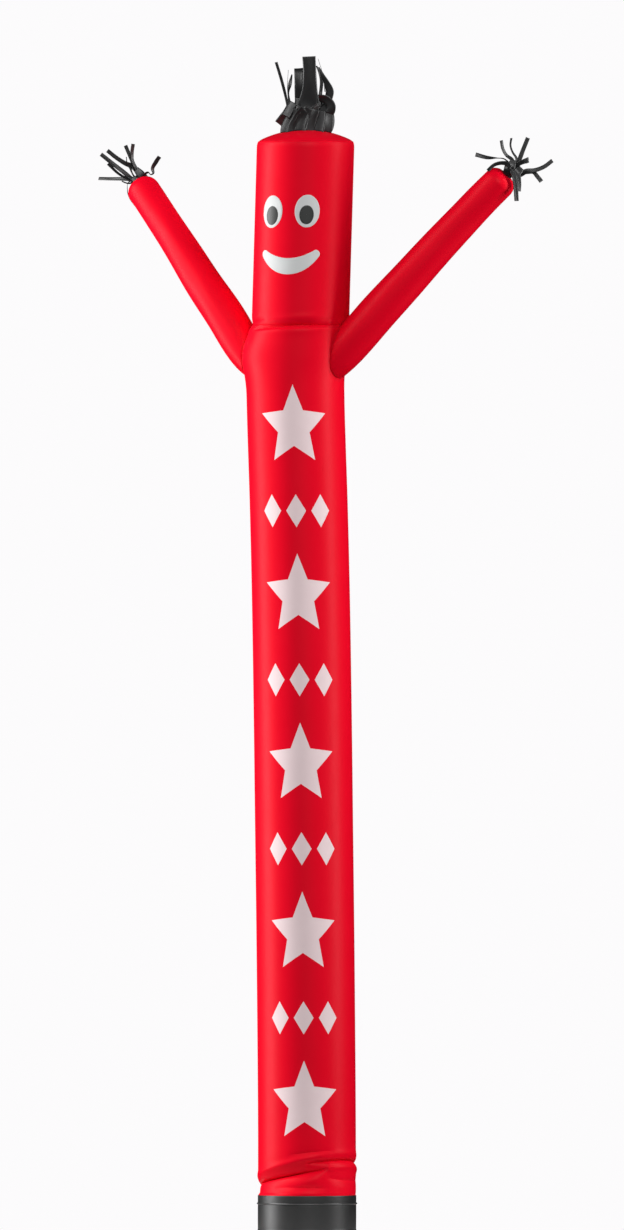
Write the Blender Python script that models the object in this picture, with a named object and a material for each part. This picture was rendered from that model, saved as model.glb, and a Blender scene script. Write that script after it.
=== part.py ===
"""Inflatable tube figure: an 18 in cloth tube that stands on a black collar, with two raised arms.

Every cut piece of cloth is its own solid: collar, welt, body tube, head tube, crown disc, two arms,
the sewn-on eyes and smile, and the black ribbons of the hair and the hands. The tubes are hollow,
so air could run from the collar up into the head and out into both arms.

Metres, +Z up, the collar's hem on Z = 0. The figure is seen from -Y, and angles round the tube are
in degrees from that front, growing towards +X.
"""

import math
from collections import namedtuple

import bmesh
import bpy
from mathutils import Vector

# Driving sizes
TUBE_RADIUS = 0.2285
COLLAR_RADIUS = 0.2300
COLLAR_HEIGHT = 0.180
NECK_HEIGHT = 4.236
RIM_HEIGHT = 5.092
CROWN_RISE = 0.054
COLLAR_X = -0.096
COLLAR_Y = -0.176

# Cloth and clearances
CLOTH = 0.0025
COLLAR_CLOTH = 0.0030
PATCH_CLOTH = 0.0010
RIBBON_CLOTH = 0.0016
GAP = 0.0003
PATCH_GAP = 0.0007

# Where pieces overlap or turn in. The body spreads from inside the collar to its full size over the
# spread height, just above the collar's edge.
TUCK = 0.035
WELT_BELOW_EDGE = 0.0385
WELT_HEIGHT = 0.0070
WELT_PROUD = 0.0040
RIM_RADIUS = 0.2215
RIM_TURN = 0.030
NECK_DRAW_IN = 0.0040
NECK_DRAW_HEIGHT = 0.030
HEAD_NARROWER = 0.0010
SPREAD_START = 0.002
SPREAD_HEIGHT = 0.018

# Mesh fineness: sides, steps, and the heights between which rings are evenly spaced
TUBE_SIDES = 40
ARM_SIDES = 24
RIBBON_STEPS = 7
SHARP_ANGLE = 50
Band = namedtuple("Band", "start end steps")
BODY_BANDS = [Band(COLLAR_HEIGHT, 0.384, 15), Band(0.560, 3.760, 5), Band(3.920, NECK_HEIGHT - GAP / 2, 8)]
HEAD_BANDS = [
    Band(NECK_HEIGHT + GAP / 2, 4.330, 4),
    Band(4.60, 4.85, 1),
    Band(RIM_HEIGHT - RIM_TURN, RIM_HEIGHT, 3),
]
CROWN_SHARES = (1.0, 0.85, 0.6, 0.3, 0.06)
CROWN_CORE_DEPTH = 0.05

# The tube's centre line, measured from the collar's centre
Sway = namedtuple("Sway", "height across deep")
SWAY = [
    Sway(0.00, 0.000, 0.000),
    Sway(0.53, 0.000, 0.000),
    Sway(1.32, -0.007, 0.006),
    Sway(1.88, -0.014, 0.011),
    Sway(2.44, -0.021, 0.014),
    Sway(3.00, -0.030, 0.014),
    Sway(3.42, -0.040, 0.011),
    Sway(3.70, -0.049, 0.007),
    Sway(3.89, -0.054, 0.003),
    Sway(4.10, -0.055, -0.002),
    Sway(4.236, -0.0316, -0.0080),
    Sway(4.30, -0.0297, -0.0103),
    Sway(4.63, -0.0198, -0.0220),
    Sway(5.14, -0.0046, -0.0400),
]

# A fold runs round the tube from one angle to another: a trough with fuller cloth over and under it
Fold = namedtuple("Fold", "start end low high bow depth width over under")
BODY_FOLDS = [
    Fold(-138, 34, 0.176, 0.298, 0.004, 0.0140, 0.010, 0.0045, 0.0020),
    Fold(-18, 128, 0.322, 0.318, 0.024, 0.0115, 0.010, 0.0035, 0.0080),
    Fold(104, 232, 0.330, 0.262, -0.012, 0.0110, 0.012, 0.0020, 0.0060),
    Fold(196, 250, 0.212, 0.206, 0.010, 0.0080, 0.011, 0.0020, 0.0040),
    Fold(-34, 20, 0.212, 0.216, 0.006, 0.0045, 0.010, 0.0010, 0.0010),
    Fold(30, 100, 0.236, 0.218, -0.006, 0.0055, 0.011, 0.0020, 0.0010),
]
HEAD_FOLDS = [
    Fold(-46, 46, 4.244, 4.246, 0.014, 0.0150, 0.014, 0.0, 0.0),
    Fold(-94, -34, 4.238, 4.272, 0.000, 0.0060, 0.009, 0.0, 0.0),
    Fold(128, 214, 4.262, 4.256, 0.012, 0.0080, 0.016, 0.0, 0.0),
]

LIP_AWAY = 2.2
LIP_SPREAD = 1.6

# Fuller cloth where an arm draws the body out, at the shoulder
Shoulder = namedtuple("Shoulder", "angle height full spread")
SHOULDERS = [Shoulder(-108, 4.100, 0.024, 0.095), Shoulder(66, 4.100, 0.014, 0.090)]

# The arms' centre lines and radii, measured from the collar's centre
Station = namedtuple("Station", "across deep height radius")
NumberedStation = namedtuple("NumberedStation", "number across deep height radius")
LEFT_ARM = [
    Station(-0.130, 0.030, 4.010, 0.090),
    Station(-0.2660, 0.074, 4.104, 0.091),
    Station(-0.3830, 0.150, 4.284, 0.091),
    Station(-0.4980, 0.252, 4.456, 0.086),
    Station(-0.6370, 0.400, 4.679, 0.0775),
    Station(-0.7640, 0.560, 4.871, 0.076),
]
RIGHT_ARM = [
    Station(0.030, -0.050, 4.010, 0.090),
    Station(0.1586, -0.098, 4.104, 0.091),
    Station(0.3498, -0.140, 4.315, 0.091),
    Station(0.5526, -0.178, 4.539, 0.085),
    Station(0.7560, -0.218, 4.757, 0.079),
    Station(0.8830, -0.250, 4.888, 0.077),
]
ARM_STATIONS = 9
ARM_END_ROUND = 0.045
ARM_END_TURNS = (30, 55, 75, 90)
ARM_OPENING = 0.026

# The face, on the head's cloth: sizes are along the cloth
Eye = namedtuple("Eye", "name angle height width tall tilt")
EYE_WHITES = [
    Eye("eye_white_left", -40.0, 4.763, 0.114, 0.151, 5.0),
    Eye("eye_white_right", 4.3, 4.765, 0.118, 0.152, 1.0),
]
PUPILS = [
    Eye("pupil_left", -39.7, 4.745, 0.068, 0.089, 4.0),
    Eye("pupil_right", 3.6, 4.748, 0.068, 0.089, 1.0),
]
EYE_SIDES = 20
EYE_SHARES = (1.0, 0.55, 0.1)
SMILE_ANGLE = -16.6
SMILE_BOTTOM = 4.471
SMILE_HALF_WIDTH = 0.130
SMILE_TIP_RISE = 0.094
SMILE_TIP_RADIUS = 0.0195
SMILE_TIP_TURNS = (35, 62, 84)
SMILE_HALF_THICK = 0.0375
SMILE_STEPS = 14
SMILE_ACROSS = (-1, -0.35, 0.35, 1)

# Ribbons leave a gathered root. Lean is from upright towards +X at the root, half way and at the tip;
# toward is out of the X-Z plane to the front; turn spins the flat of the ribbon about its run.
Ribbon = namedtuple(
    "Ribbon",
    "across deep up lean_root lean_mid lean_tip toward_root toward_tip length width turn_root turn_tip",
)
HAIR = [
    Ribbon(0.011, -0.034, 0.040, 2, 0, -2, 4, 0, 0.309, 0.060, 4, 4),
    Ribbon(-0.028, -0.008, 0.040, -4, 0, 2, -4, 4, 0.256, 0.050, 0, 0),
    Ribbon(-0.062, 0.012, 0.068, -12, -18, -16, 0, 6, 0.270, 0.030, 50, 60),
    Ribbon(-0.076, -0.016, 0.070, -4, 4, 16, 0, 0, 0.200, 0.026, 62, 52),
    Ribbon(-0.074, 0.034, 0.070, -4, -2, 0, -3, 0, 0.225, 0.024, 80, 80),
    Ribbon(0.060, -0.016, 0.040, 14, 0, -26, 0, 6, 0.258, 0.030, 10, 30),
    Ribbon(0.092, 0.004, 0.050, 26, -24, -48, 6, -6, 0.244, 0.046, 14, 26),
    Ribbon(0.084, 0.036, 0.040, 4, -6, -14, -6, 0, 0.300, 0.026, 74, 82),
    Ribbon(-0.042, -0.040, 0.106, -84, -126, -168, 40, 4, 0.104, 0.055, 18, 14),
    Ribbon(0.034, -0.036, 0.100, 34, 96, 170, 24, 4, 0.112, 0.050, 44, 34),
]
LEFT_HAND = [
    Ribbon(0, 0, 0, -92, -91, -88, 14, 4, 0.170, 0.020, 12, 10),
    Ribbon(0, 0, 0, -60, -53, -49, 0, 6, 0.192, 0.020, 0, 6),
    Ribbon(0, 0, 0, -96, -62, -36, 30, 16, 0.156, 0.019, 40, 30),
    Ribbon(0, 0, 0, -10, -52, -62, -14, 8, 0.192, 0.020, 4, 8),
    Ribbon(0, 0, 0, -6, -20, -22, 10, 6, 0.152, 0.019, 8, 0),
    Ribbon(0, 0, 0, -16, -8, 12, -20, 0, 0.160, 0.019, 30, 44),
    Ribbon(0, 0, 0, 86, 62, 32, -12, 2, 0.175, 0.019, 66, 10),
    Ribbon(0, 0, 0, -112, -165, -200, -10, -26, 0.165, 0.019, 66, 70),
    Ribbon(0, 0, 0, -58, -34, -6, -44, -24, 0.124, 0.019, 60, 74),
]
RIGHT_HAND = [
    Ribbon(0, 0, 0, -56, -88, -62, 12, 0, 0.200, 0.020, 60, 4),
    Ribbon(0, 0, 0, -24, -46, -10, 0, 6, 0.150, 0.019, 30, 20),
    Ribbon(0, 0, 0, -2, -28, 4, -12, 6, 0.142, 0.018, 44, 44),
    Ribbon(0, 0, 0, 32, 17, 22, 4, 4, 0.152, 0.020, 4, 0),
    Ribbon(0, 0, 0, 60, 62, 74, 30, 46, 0.104, 0.021, 10, 0),
    Ribbon(0, 0, 0, 118, 74, 44, 10, 8, 0.206, 0.020, 10, 14),
    Ribbon(0, 0, 0, 92, 108, 146, -14, -6, 0.152, 0.020, 6, 0),
    Ribbon(0, 0, 0, 172, 180, 176, 30, 0, 0.162, 0.021, 14, 4),
    Ribbon(0, 0, 0, 150, 178, 182, 4, -10, 0.122, 0.020, 30, 20),
    Ribbon(0, 0, 0, -70, -98, -136, 26, 10, 0.138, 0.020, 20, 30),
]
BaseRow = namedtuple("BaseRow", "up half_wide half_deep")
HAIR_BASE_ROWS = [
    BaseRow(-0.020, 0.112, 0.062),
    BaseRow(0.020, 0.115, 0.066),
    BaseRow(0.060, 0.122, 0.066),
    BaseRow(0.095, 0.112, 0.058),
    BaseRow(0.120, 0.080, 0.040),
]
HAIR_BASE_SIDES = 30
HAIR_GATHERS = 7
HAIR_GATHER_DEPTH = 0.009
HAIR_GATHER_TWIST = 9

# The ribbons' gathered root fills an arm's end, and stands out from it by this much
LEFT_KNOT_OUT = 0.034
RIGHT_KNOT_OUT = 0.068
KNOT_NECK = ARM_OPENING - GAP
KNOT_RADIUS = 0.034
KNOT_SIDES = 12
KNOT_START = -0.030
KNOT_NECK_START = -0.020
KNOT_NECK_END = 0.003

# Cloth colours, as the fabric is dyed
RED = (0.60, 0.003, 0.022)
BLACK = (0.022, 0.022, 0.023)
WHITE = (0.80, 0.80, 0.79)
GREY = (0.055, 0.058, 0.056)


def material(name, colour, roughness):
    """A dyed cloth, as a Principled surface."""
    made = bpy.data.materials.new(name)
    made.use_nodes = True
    shader = made.node_tree.nodes["Principled BSDF"]
    shader.inputs["Base Color"].default_value = (*colour, 1.0)
    shader.inputs["Roughness"].default_value = roughness
    shader.inputs["Metallic"].default_value = 0.0
    made.diffuse_color = (*colour, 1.0)
    return made


def new_object(name, mesh_points, faces, finish=None, helper=False):
    """An object from points and faces, smooth shaded. A helper is a cutter and not a node."""
    mesh = bpy.data.meshes.new(name)
    mesh.from_pydata([tuple(p) for p in mesh_points], [], faces)
    work = bmesh.new()
    work.from_mesh(mesh)
    bmesh.ops.recalc_face_normals(work, faces=work.faces)
    work.to_mesh(mesh)
    work.free()
    mesh.shade_smooth()
    mesh.set_sharp_from_angle(angle=math.radians(SHARP_ANGLE))
    if finish is not None:
        mesh.materials.append(finish)
    made = bpy.data.objects.new(name, mesh)
    bpy.context.scene.collection.objects.link(made)
    if helper:
        made.hide_render = True
        made.display_type = "WIRE"
    return made


def add_boolean(target, other, operation):
    """Cuts the other object from the target, or joins it on."""
    step = target.modifiers.new(f"{operation.lower()}_{other.name}", "BOOLEAN")
    step.operation = operation
    step.object = other
    step.solver = "EXACT"


def along_table(rows, key, column, value):
    """A column of a table at a value of its key column, on one smooth curve through the rows."""
    keys = [getattr(row, key) for row in rows]
    values = [getattr(row, column) for row in rows]
    value = min(max(value, keys[0]), keys[-1])
    last = len(rows) - 1
    i = max(n for n in range(last) if keys[n] <= value)

    def slope(n):
        low, high = max(n - 1, 0), min(n + 1, last)
        return (values[high] - values[low]) / (keys[high] - keys[low])

    span = keys[i + 1] - keys[i]
    t = (value - keys[i]) / span
    return (
        (2 * t**3 - 3 * t**2 + 1) * values[i]
        + (t**3 - 2 * t**2 + t) * span * slope(i)
        + (3 * t**2 - 2 * t**3) * values[i + 1]
        + (t**3 - t**2) * span * slope(i + 1)
    )


def outwards(angle):
    """The level direction at an angle round the tube."""
    turn = math.radians(angle)
    return Vector((math.sin(turn), -math.cos(turn), 0.0))


def centre_at(height):
    """The tube's centre line at a height."""
    return Vector(
        (
            COLLAR_X + along_table(SWAY, "height", "across", height),
            COLLAR_Y + along_table(SWAY, "height", "deep", height),
            height,
        )
    )


def bell(distance, width):
    return math.exp(-((distance / width) ** 2))


def fold_push(folds, angle, height):
    """How far the folds move the cloth out (or in, if negative) at a point of the tube."""
    push = 0.0
    for fold in folds:
        share = ((angle - fold.start) % 360) / (fold.end - fold.start)
        if share > 1:
            continue
        line = fold.low + (fold.high - fold.low) * share + fold.bow * 4 * share * (1 - share)
        fade = math.sin(math.pi * share) ** 0.7
        push -= fade * fold.depth * bell(height - line, fold.width)
        push += fade * fold.over * bell(height - line - LIP_AWAY * fold.width, LIP_SPREAD * fold.width)
        push += fade * fold.under * bell(height - line + LIP_AWAY * fold.width, LIP_SPREAD * fold.width)
    return push


def neck_draw(height):
    """The seam at the neck draws both tubes in a little."""
    return -NECK_DRAW_IN * bell(height - NECK_HEIGHT, NECK_DRAW_HEIGHT)


def body_radius(angle, height):
    radius = TUBE_RADIUS + fold_push(BODY_FOLDS, angle, height) + neck_draw(height)
    for shoulder in SHOULDERS:
        facing = max(0.0, math.cos(math.radians(angle - shoulder.angle)))
        radius += shoulder.full * facing**2 * bell(height - shoulder.height, shoulder.spread)
    tucked = COLLAR_RADIUS - COLLAR_CLOTH - GAP
    blend = min(max((height - COLLAR_HEIGHT - SPREAD_START) / SPREAD_HEIGHT, 0.0), 1.0)
    return tucked + (radius - tucked) * blend * blend * (3 - 2 * blend)


def head_radius(angle, height):
    radius = TUBE_RADIUS - HEAD_NARROWER + fold_push(HEAD_FOLDS, angle, height) + neck_draw(height)
    turn = min(max((height - RIM_HEIGHT + RIM_TURN) / RIM_TURN, 0.0), 1.0)
    return radius - (radius - RIM_RADIUS) * (1 - math.sqrt(1 - turn**2))


def tube_ring(radius_at, height, grow=0.0):
    """One ring of points round the tube. A straight radius may be given as a number."""
    ring = []
    centre = centre_at(height)
    for n in range(TUBE_SIDES):
        angle = 360 * n / TUBE_SIDES
        radius = radius_at(angle, height) if callable(radius_at) else radius_at
        ring.append(centre + outwards(angle) * (radius + grow))
    return ring


def bridge(rings, closed=False):
    """Quads between rings of equal count, and from the last back to the first if closed."""
    sides = len(rings[0])
    faces = []
    pairs = [(i, i + 1) for i in range(len(rings) - 1)]
    if closed:
        pairs.append((len(rings) - 1, 0))
    for low, high in pairs:
        for n in range(sides):
            following = (n + 1) % sides
            below, above = low * sides, high * sides
            faces.append((below + n, below + following, above + following, above + n))
    return faces


def hollow_tube(name, outer_rings, inner_rings, finish):
    """A tube of cloth, open at both ends, with a wall between its outer and inner rings."""
    rings = outer_rings + inner_rings[::-1]
    points = [p for ring in rings for p in ring]
    return new_object(name, points, bridge(rings, closed=True), finish)


def capped(name, rings, finish=None, helper=True):
    """A closed solid: rings bridged in order, with the first and last filled."""
    sides = len(rings[0])
    points = [p for ring in rings for p in ring]
    ends = [tuple(range(sides)), tuple((len(rings) - 1) * sides + n for n in range(sides))]
    return new_object(name, points, bridge(rings) + ends, finish, helper)


def ring_heights(bands):
    return [b.start + (b.end - b.start) * n / b.steps for b in bands for n in range(b.steps + 1)]


def body_heights():
    """Ring heights of the body tube, from its end inside the collar."""
    return [COLLAR_HEIGHT - TUCK] + ring_heights(BODY_BANDS)


def make_collar(finish):
    inner = COLLAR_RADIUS - COLLAR_CLOTH
    heights = [0.0, COLLAR_HEIGHT / 2, COLLAR_HEIGHT]
    outer_rings = [tube_ring(COLLAR_RADIUS, h) for h in heights]
    inner_rings = [tube_ring(inner, h) for h in heights]
    return hollow_tube("collar", outer_rings, inner_rings, finish)


def make_welt(finish):
    """The corded welt that covers the stitching under the collar's upper edge."""
    middle = COLLAR_HEIGHT - WELT_BELOW_EDGE
    seat = COLLAR_RADIUS + GAP
    section = [
        (seat, -0.5 * WELT_HEIGHT),
        (seat + 0.75 * WELT_PROUD, -0.4 * WELT_HEIGHT),
        (seat + WELT_PROUD, 0.0),
        (seat + 0.75 * WELT_PROUD, 0.4 * WELT_HEIGHT),
        (seat, 0.5 * WELT_HEIGHT),
    ]
    rings = [tube_ring(radius, middle + rise) for radius, rise in section]
    points = [p for ring in rings for p in ring]
    return new_object("collar_welt", points, bridge(rings, closed=True), finish)


def make_tube(name, radius_at, heights, finish):
    outer = [tube_ring(radius_at, h) for h in heights]
    inner = [tube_ring(radius_at, h, -CLOTH) for h in heights]
    return hollow_tube(name, outer, inner, finish)


def crown_height(share):
    """The crown's height over its rim, from 0 at the middle to 1 at the rim."""
    bend = (RIM_RADIUS**2 + CROWN_RISE**2) / (2 * CROWN_RISE)
    return math.sqrt(bend**2 - (share * RIM_RADIUS) ** 2) - (bend - CROWN_RISE)


def crown_rings(base, grow=0.0):
    """Rings of the domed crown, from its rim up to a small ring round its middle."""
    centre = centre_at(RIM_HEIGHT)
    rings = []
    for share in CROWN_SHARES:
        rise = base + crown_height(share) + grow
        radius = share * RIM_RADIUS
        middle = centre + Vector((0, 0, rise))
        rings.append([middle + outwards(360 * n / TUBE_SIDES) * radius for n in range(TUBE_SIDES)])
    return rings


def make_crown(finish):
    """The round panel that closes the head, puffed up by the air."""
    rings = crown_rings(GAP)[::-1]
    upper = crown_rings(GAP + CLOTH)
    return capped("head_crown", rings + upper, finish, helper=False)


def arm_points(stations):
    """Points, radii and directions along an arm, on one smooth curve through its stations."""
    rows = [NumberedStation(number, *station) for number, station in enumerate(stations)]
    last = len(rows) - 1
    route = []
    for n in range(ARM_STATIONS + 1):
        at = last * n / ARM_STATIONS
        across, deep, height, radius = (
            along_table(rows, "number", column, at) for column in ("across", "deep", "height", "radius")
        )
        route.append((Vector((COLLAR_X + across, COLLAR_Y + deep, height)), radius))
    return route


def arm_direction(route, n):
    low, high = max(n - 1, 0), min(n + 1, len(route) - 1)
    return (route[high][0] - route[low][0]).normalized()


def arm_ring(centre, direction, radius):
    """A ring square to the arm. It starts from the level side, so that rings never twist."""
    side = direction.cross(Vector((0, 0, 1))).normalized()
    up = side.cross(direction).normalized()
    ring = []
    for n in range(ARM_SIDES):
        turn = 2 * math.pi * n / ARM_SIDES
        ring.append(centre + (side * math.cos(turn) + up * math.sin(turn)) * radius)
    return ring


def arm_rings(stations, inset=0.0):
    """The arm's rings, then its rounded end down to the opening that the ribbons fill."""
    route = arm_points(stations)
    rings = []
    for n, (centre, radius) in enumerate(route):
        rings.append(arm_ring(centre, arm_direction(route, n), radius - inset))
    centre, radius = route[-1]
    direction = arm_direction(route, len(route) - 1)
    for turn in ARM_END_TURNS:
        out = (ARM_END_ROUND - inset) * math.sin(math.radians(turn))
        drawn = ARM_OPENING + (radius - inset - ARM_OPENING) * math.cos(math.radians(turn))
        rings.append(arm_ring(centre + direction * out, direction, drawn))
    return rings


def make_arm(name, stations, cores, finish):
    """A tapered sleeve, cut at its root to lie on the body and the head."""
    arm = hollow_tube(name, arm_rings(stations), arm_rings(stations, CLOTH), finish)
    for core in cores:
        add_boolean(arm, core, "DIFFERENCE")
    return arm


def arm_end(stations):
    """The middle of an arm's end opening, and the way it points."""
    route = arm_points(stations)
    direction = arm_direction(route, len(route) - 1)
    return route[-1][0] + direction * ARM_END_ROUND, direction


def on_head(angle, height, along, up, tilt, lift):
    """A point on the head's cloth: along and up are distances on the cloth from a centre."""
    turn = math.radians(tilt)
    shift = along * math.cos(turn) + up * math.sin(turn)
    rise = up * math.cos(turn) - along * math.sin(turn)
    here = angle + math.degrees(shift / TUBE_RADIUS)
    return centre_at(height + rise) + outwards(here) * (head_radius(here, height + rise) + lift)


def patch(name, outline_rings, lift, finish):
    """A thin cloth patch from nested outlines, each a list of (angle, height, along, up, tilt)."""
    under = [[on_head(*place, lift) for place in ring] for ring in outline_rings]
    over = [[on_head(*place, lift + PATCH_CLOTH) for place in ring] for ring in outline_rings]
    return capped(name, under[::-1] + over, finish, helper=False)


def make_eye(eye, lift, finish):
    """An oval patch: nested rings from its edge to a small one at its middle."""
    rings = []
    for share in EYE_SHARES:
        ring = []
        for n in range(EYE_SIDES):
            turn = 2 * math.pi * n / EYE_SIDES
            along = share * eye.width / 2 * math.cos(turn)
            up = share * eye.tall / 2 * math.sin(turn)
            ring.append((eye.angle, eye.height, along, up, eye.tilt))
        rings.append(ring)
    return patch(eye.name, rings, lift, finish)


def smile_half(along):
    """The smile's half thickness, fullest in the middle."""
    share = along / SMILE_HALF_WIDTH
    return SMILE_TIP_RADIUS + (SMILE_HALF_THICK - SMILE_TIP_RADIUS) * (1 - share * share)


def smile_middle(along):
    """The smile's middle line, which rises to both tips."""
    share = along / SMILE_HALF_WIDTH
    return SMILE_HALF_THICK + (SMILE_TIP_RISE - SMILE_HALF_THICK) * share * share


def make_smile(finish):
    """The smile as a strip of stations, each four points of its section, with rounded tips."""
    places = []
    for n in range(SMILE_STEPS + 1):
        along = SMILE_HALF_WIDTH * (2 * n / SMILE_STEPS - 1)
        places.append((along, smile_middle(along), smile_half(along)))
    slope = math.atan2(2 * (SMILE_TIP_RISE - SMILE_HALF_THICK), SMILE_HALF_WIDTH)
    for side in (-1, 1):
        for turn in SMILE_TIP_TURNS:
            out = SMILE_TIP_RADIUS * math.sin(math.radians(turn))
            half = SMILE_TIP_RADIUS * math.cos(math.radians(turn))
            tip = (
                side * (SMILE_HALF_WIDTH + out * math.cos(slope)),
                SMILE_TIP_RISE + out * math.sin(slope),
                half,
            )
            places.insert(0 if side < 0 else len(places), tip)
    rings = []
    for number, (along, middle, half) in enumerate(places):
        before, after = places[max(number - 1, 0)], places[min(number + 1, len(places) - 1)]
        lean = math.atan2(after[1] - before[1], after[0] - before[0])
        ring = []
        for lift, ups in ((PATCH_GAP, SMILE_ACROSS), (PATCH_GAP + PATCH_CLOTH, SMILE_ACROSS[::-1])):
            for up in ups:
                place = (along - up * half * math.sin(lean), middle + up * half * math.cos(lean))
                ring.append(on_head(SMILE_ANGLE, SMILE_BOTTOM, *place, 0.0, lift))
        rings.append(ring)
    return capped("smile", rings, finish, helper=False)


def three_way(root, middle, tip, share):
    """A value that passes through three set values, at 0, a half and 1."""
    return (
        root * (2 * share - 1) * (share - 1)
        + middle * 4 * share * (1 - share)
        + tip * share * (2 * share - 1)
    )


def ribbon_rings(ribbon, start):
    """Four-cornered rings along a ribbon, from its root."""
    place = start + Vector((ribbon.across, ribbon.deep, ribbon.up))
    step = ribbon.length / RIBBON_STEPS
    rings = []
    for n in range(RIBBON_STEPS + 1):
        share = n / RIBBON_STEPS
        lean = math.radians(three_way(ribbon.lean_root, ribbon.lean_mid, ribbon.lean_tip, share))
        toward = math.radians(ribbon.toward_root + (ribbon.toward_tip - ribbon.toward_root) * share)
        turn = math.radians(ribbon.turn_root + (ribbon.turn_tip - ribbon.turn_root) * share)
        level, forward = math.cos(toward), -math.sin(toward)
        run = Vector((math.sin(lean) * level, forward, math.cos(lean) * level))
        flat = Vector((math.cos(lean), 0.0, -math.sin(lean)))
        square = run.cross(flat)
        side = (flat * math.cos(turn) + square * math.sin(turn)) * ribbon.width / 2
        up = run.cross(side).normalized() * RIBBON_CLOTH / 2
        rings.append([place - side - up, place + side - up, place + side + up, place - side + up])
        place = place + run * step
    return rings


def strand_solid(name, rings):
    """A ribbon's solid. Both its flat sides are split along the same diagonals, so they never cross."""
    faces = [(0, 1, 2, 3)]
    for low in range(0, 4 * (len(rings) - 1), 4):
        high = low + 4
        faces += [(low, low + 1, high + 1), (low, high + 1, high)]
        faces += [(low + 3, low + 2, high + 2), (low + 3, high + 2, high + 3)]
        faces += [(low + 1, low + 2, high + 2, high + 1), (low, low + 3, high + 3, high)]
    last = 4 * (len(rings) - 1)
    faces.append((last, last + 1, last + 2, last + 3))
    return new_object(name, [p for ring in rings for p in ring], faces, helper=True)


def make_tuft(name, root, ribbons, start, finish):
    """Ribbons fused to their gathered root, as one solid."""
    for number, ribbon in enumerate(ribbons):
        strand = strand_solid(f"{name}_strand_{number}", ribbon_rings(ribbon, start))
        add_boolean(root, strand, "UNION")
    root.name = name
    root.data.materials.append(finish)
    return root


def hair_base(seat):
    """The gathered black cloth at the hair's root, fluted by its gathers."""
    rings = []
    for up, half_wide, half_deep in HAIR_BASE_ROWS:
        ring = []
        for n in range(HAIR_BASE_SIDES):
            turn = 2 * math.pi * n / HAIR_BASE_SIDES
            flute = 1 + HAIR_GATHER_DEPTH / half_deep * math.cos(HAIR_GATHERS * turn + HAIR_GATHER_TWIST * up)
            across, deep = math.cos(turn) * half_wide * flute, math.sin(turn) * half_deep * flute
            ring.append(seat + Vector((across, deep, up)))
        rings.append(ring)
    return capped("hair_base", rings, helper=False)


def knot(name, centre, direction, out):
    """The gathered root of a hand's ribbons: a neck in the arm's end opening, and a lump outside it."""
    side = direction.cross(Vector((0, 0, 1))).normalized()
    up = side.cross(direction).normalized()
    profile = [
        (KNOT_START, 0.6 * KNOT_NECK),
        (KNOT_NECK_START, KNOT_NECK),
        (KNOT_NECK_END, KNOT_NECK),
        (0.5 * out, 0.9 * KNOT_RADIUS),
        (out, KNOT_RADIUS),
        (out + 0.6 * KNOT_RADIUS, 0.5 * KNOT_RADIUS),
    ]
    rings = []
    for along, radius in profile:
        ring = []
        for n in range(KNOT_SIDES):
            turn = 2 * math.pi * n / KNOT_SIDES
            ring.append(centre + direction * along + (side * math.cos(turn) + up * math.sin(turn)) * radius)
        rings.append(ring)
    return capped(name, rings, helper=False)


def core(name, radius_at, heights):
    """The filled form of a tube, a gap larger all round, which trims what is sewn to it."""
    return capped(name, [tube_ring(radius_at, h, GAP) for h in heights])


def main():
    for old in list(bpy.data.objects):
        bpy.data.objects.remove(old)
    red = material("red_nylon", RED, 0.42)
    black = material("black_nylon", BLACK, 0.45)
    collar_black = material("black_coated_cloth", BLACK, 0.50)
    white = material("white_nylon", WHITE, 0.50)
    grey = material("grey_nylon", GREY, 0.50)

    make_collar(collar_black)
    make_welt(collar_black)
    body = make_tube("body_tube", body_radius, body_heights(), red)
    make_tube("head_tube", head_radius, ring_heights(HEAD_BANDS), red)
    make_crown(red)

    body_core = core("body_core", body_radius, body_heights())
    head_core = core("head_core", head_radius, ring_heights(HEAD_BANDS))
    for name, stations in (("left_arm", LEFT_ARM), ("right_arm", RIGHT_ARM)):
        make_arm(name, stations, (body_core, head_core), red)
        bore = capped(f"{name}_bore", arm_rings(stations, CLOTH))
        add_boolean(body, bore, "DIFFERENCE")

    for eye in EYE_WHITES:
        make_eye(eye, PATCH_GAP, white)
    for pupil in PUPILS:
        make_eye(pupil, 2 * PATCH_GAP + PATCH_CLOTH, grey)
    make_smile(white)

    seat = centre_at(RIM_HEIGHT) + Vector((0, 0, CROWN_RISE + GAP + CLOTH))
    crown_core = capped("crown_core", crown_rings(GAP - CROWN_CORE_DEPTH)[:1] + crown_rings(2 * GAP + CLOTH))
    hair = make_tuft("hair", hair_base(seat), HAIR, seat, black)
    add_boolean(hair, crown_core, "DIFFERENCE")
    for name, stations, ribbons, out in (
        ("left_hand_ribbons", LEFT_ARM, LEFT_HAND, LEFT_KNOT_OUT),
        ("right_hand_ribbons", RIGHT_ARM, RIGHT_HAND, RIGHT_KNOT_OUT),
    ):
        end, direction = arm_end(stations)
        make_tuft(name, knot(name, end, direction, out), ribbons, end + direction * out, black)


main()
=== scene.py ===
"""Looks for the inflatable tube figure: thin red cloth tubes, a coated black collar, sewn-on eyes
and smile, a printed column of stars, black ribbons, and the stitching that joins the pieces.

Metres, +Z up. Angles round the tube are in degrees from the front (-Y), growing towards +X.
"""
import math
from collections import namedtuple
from functools import partial

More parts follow.
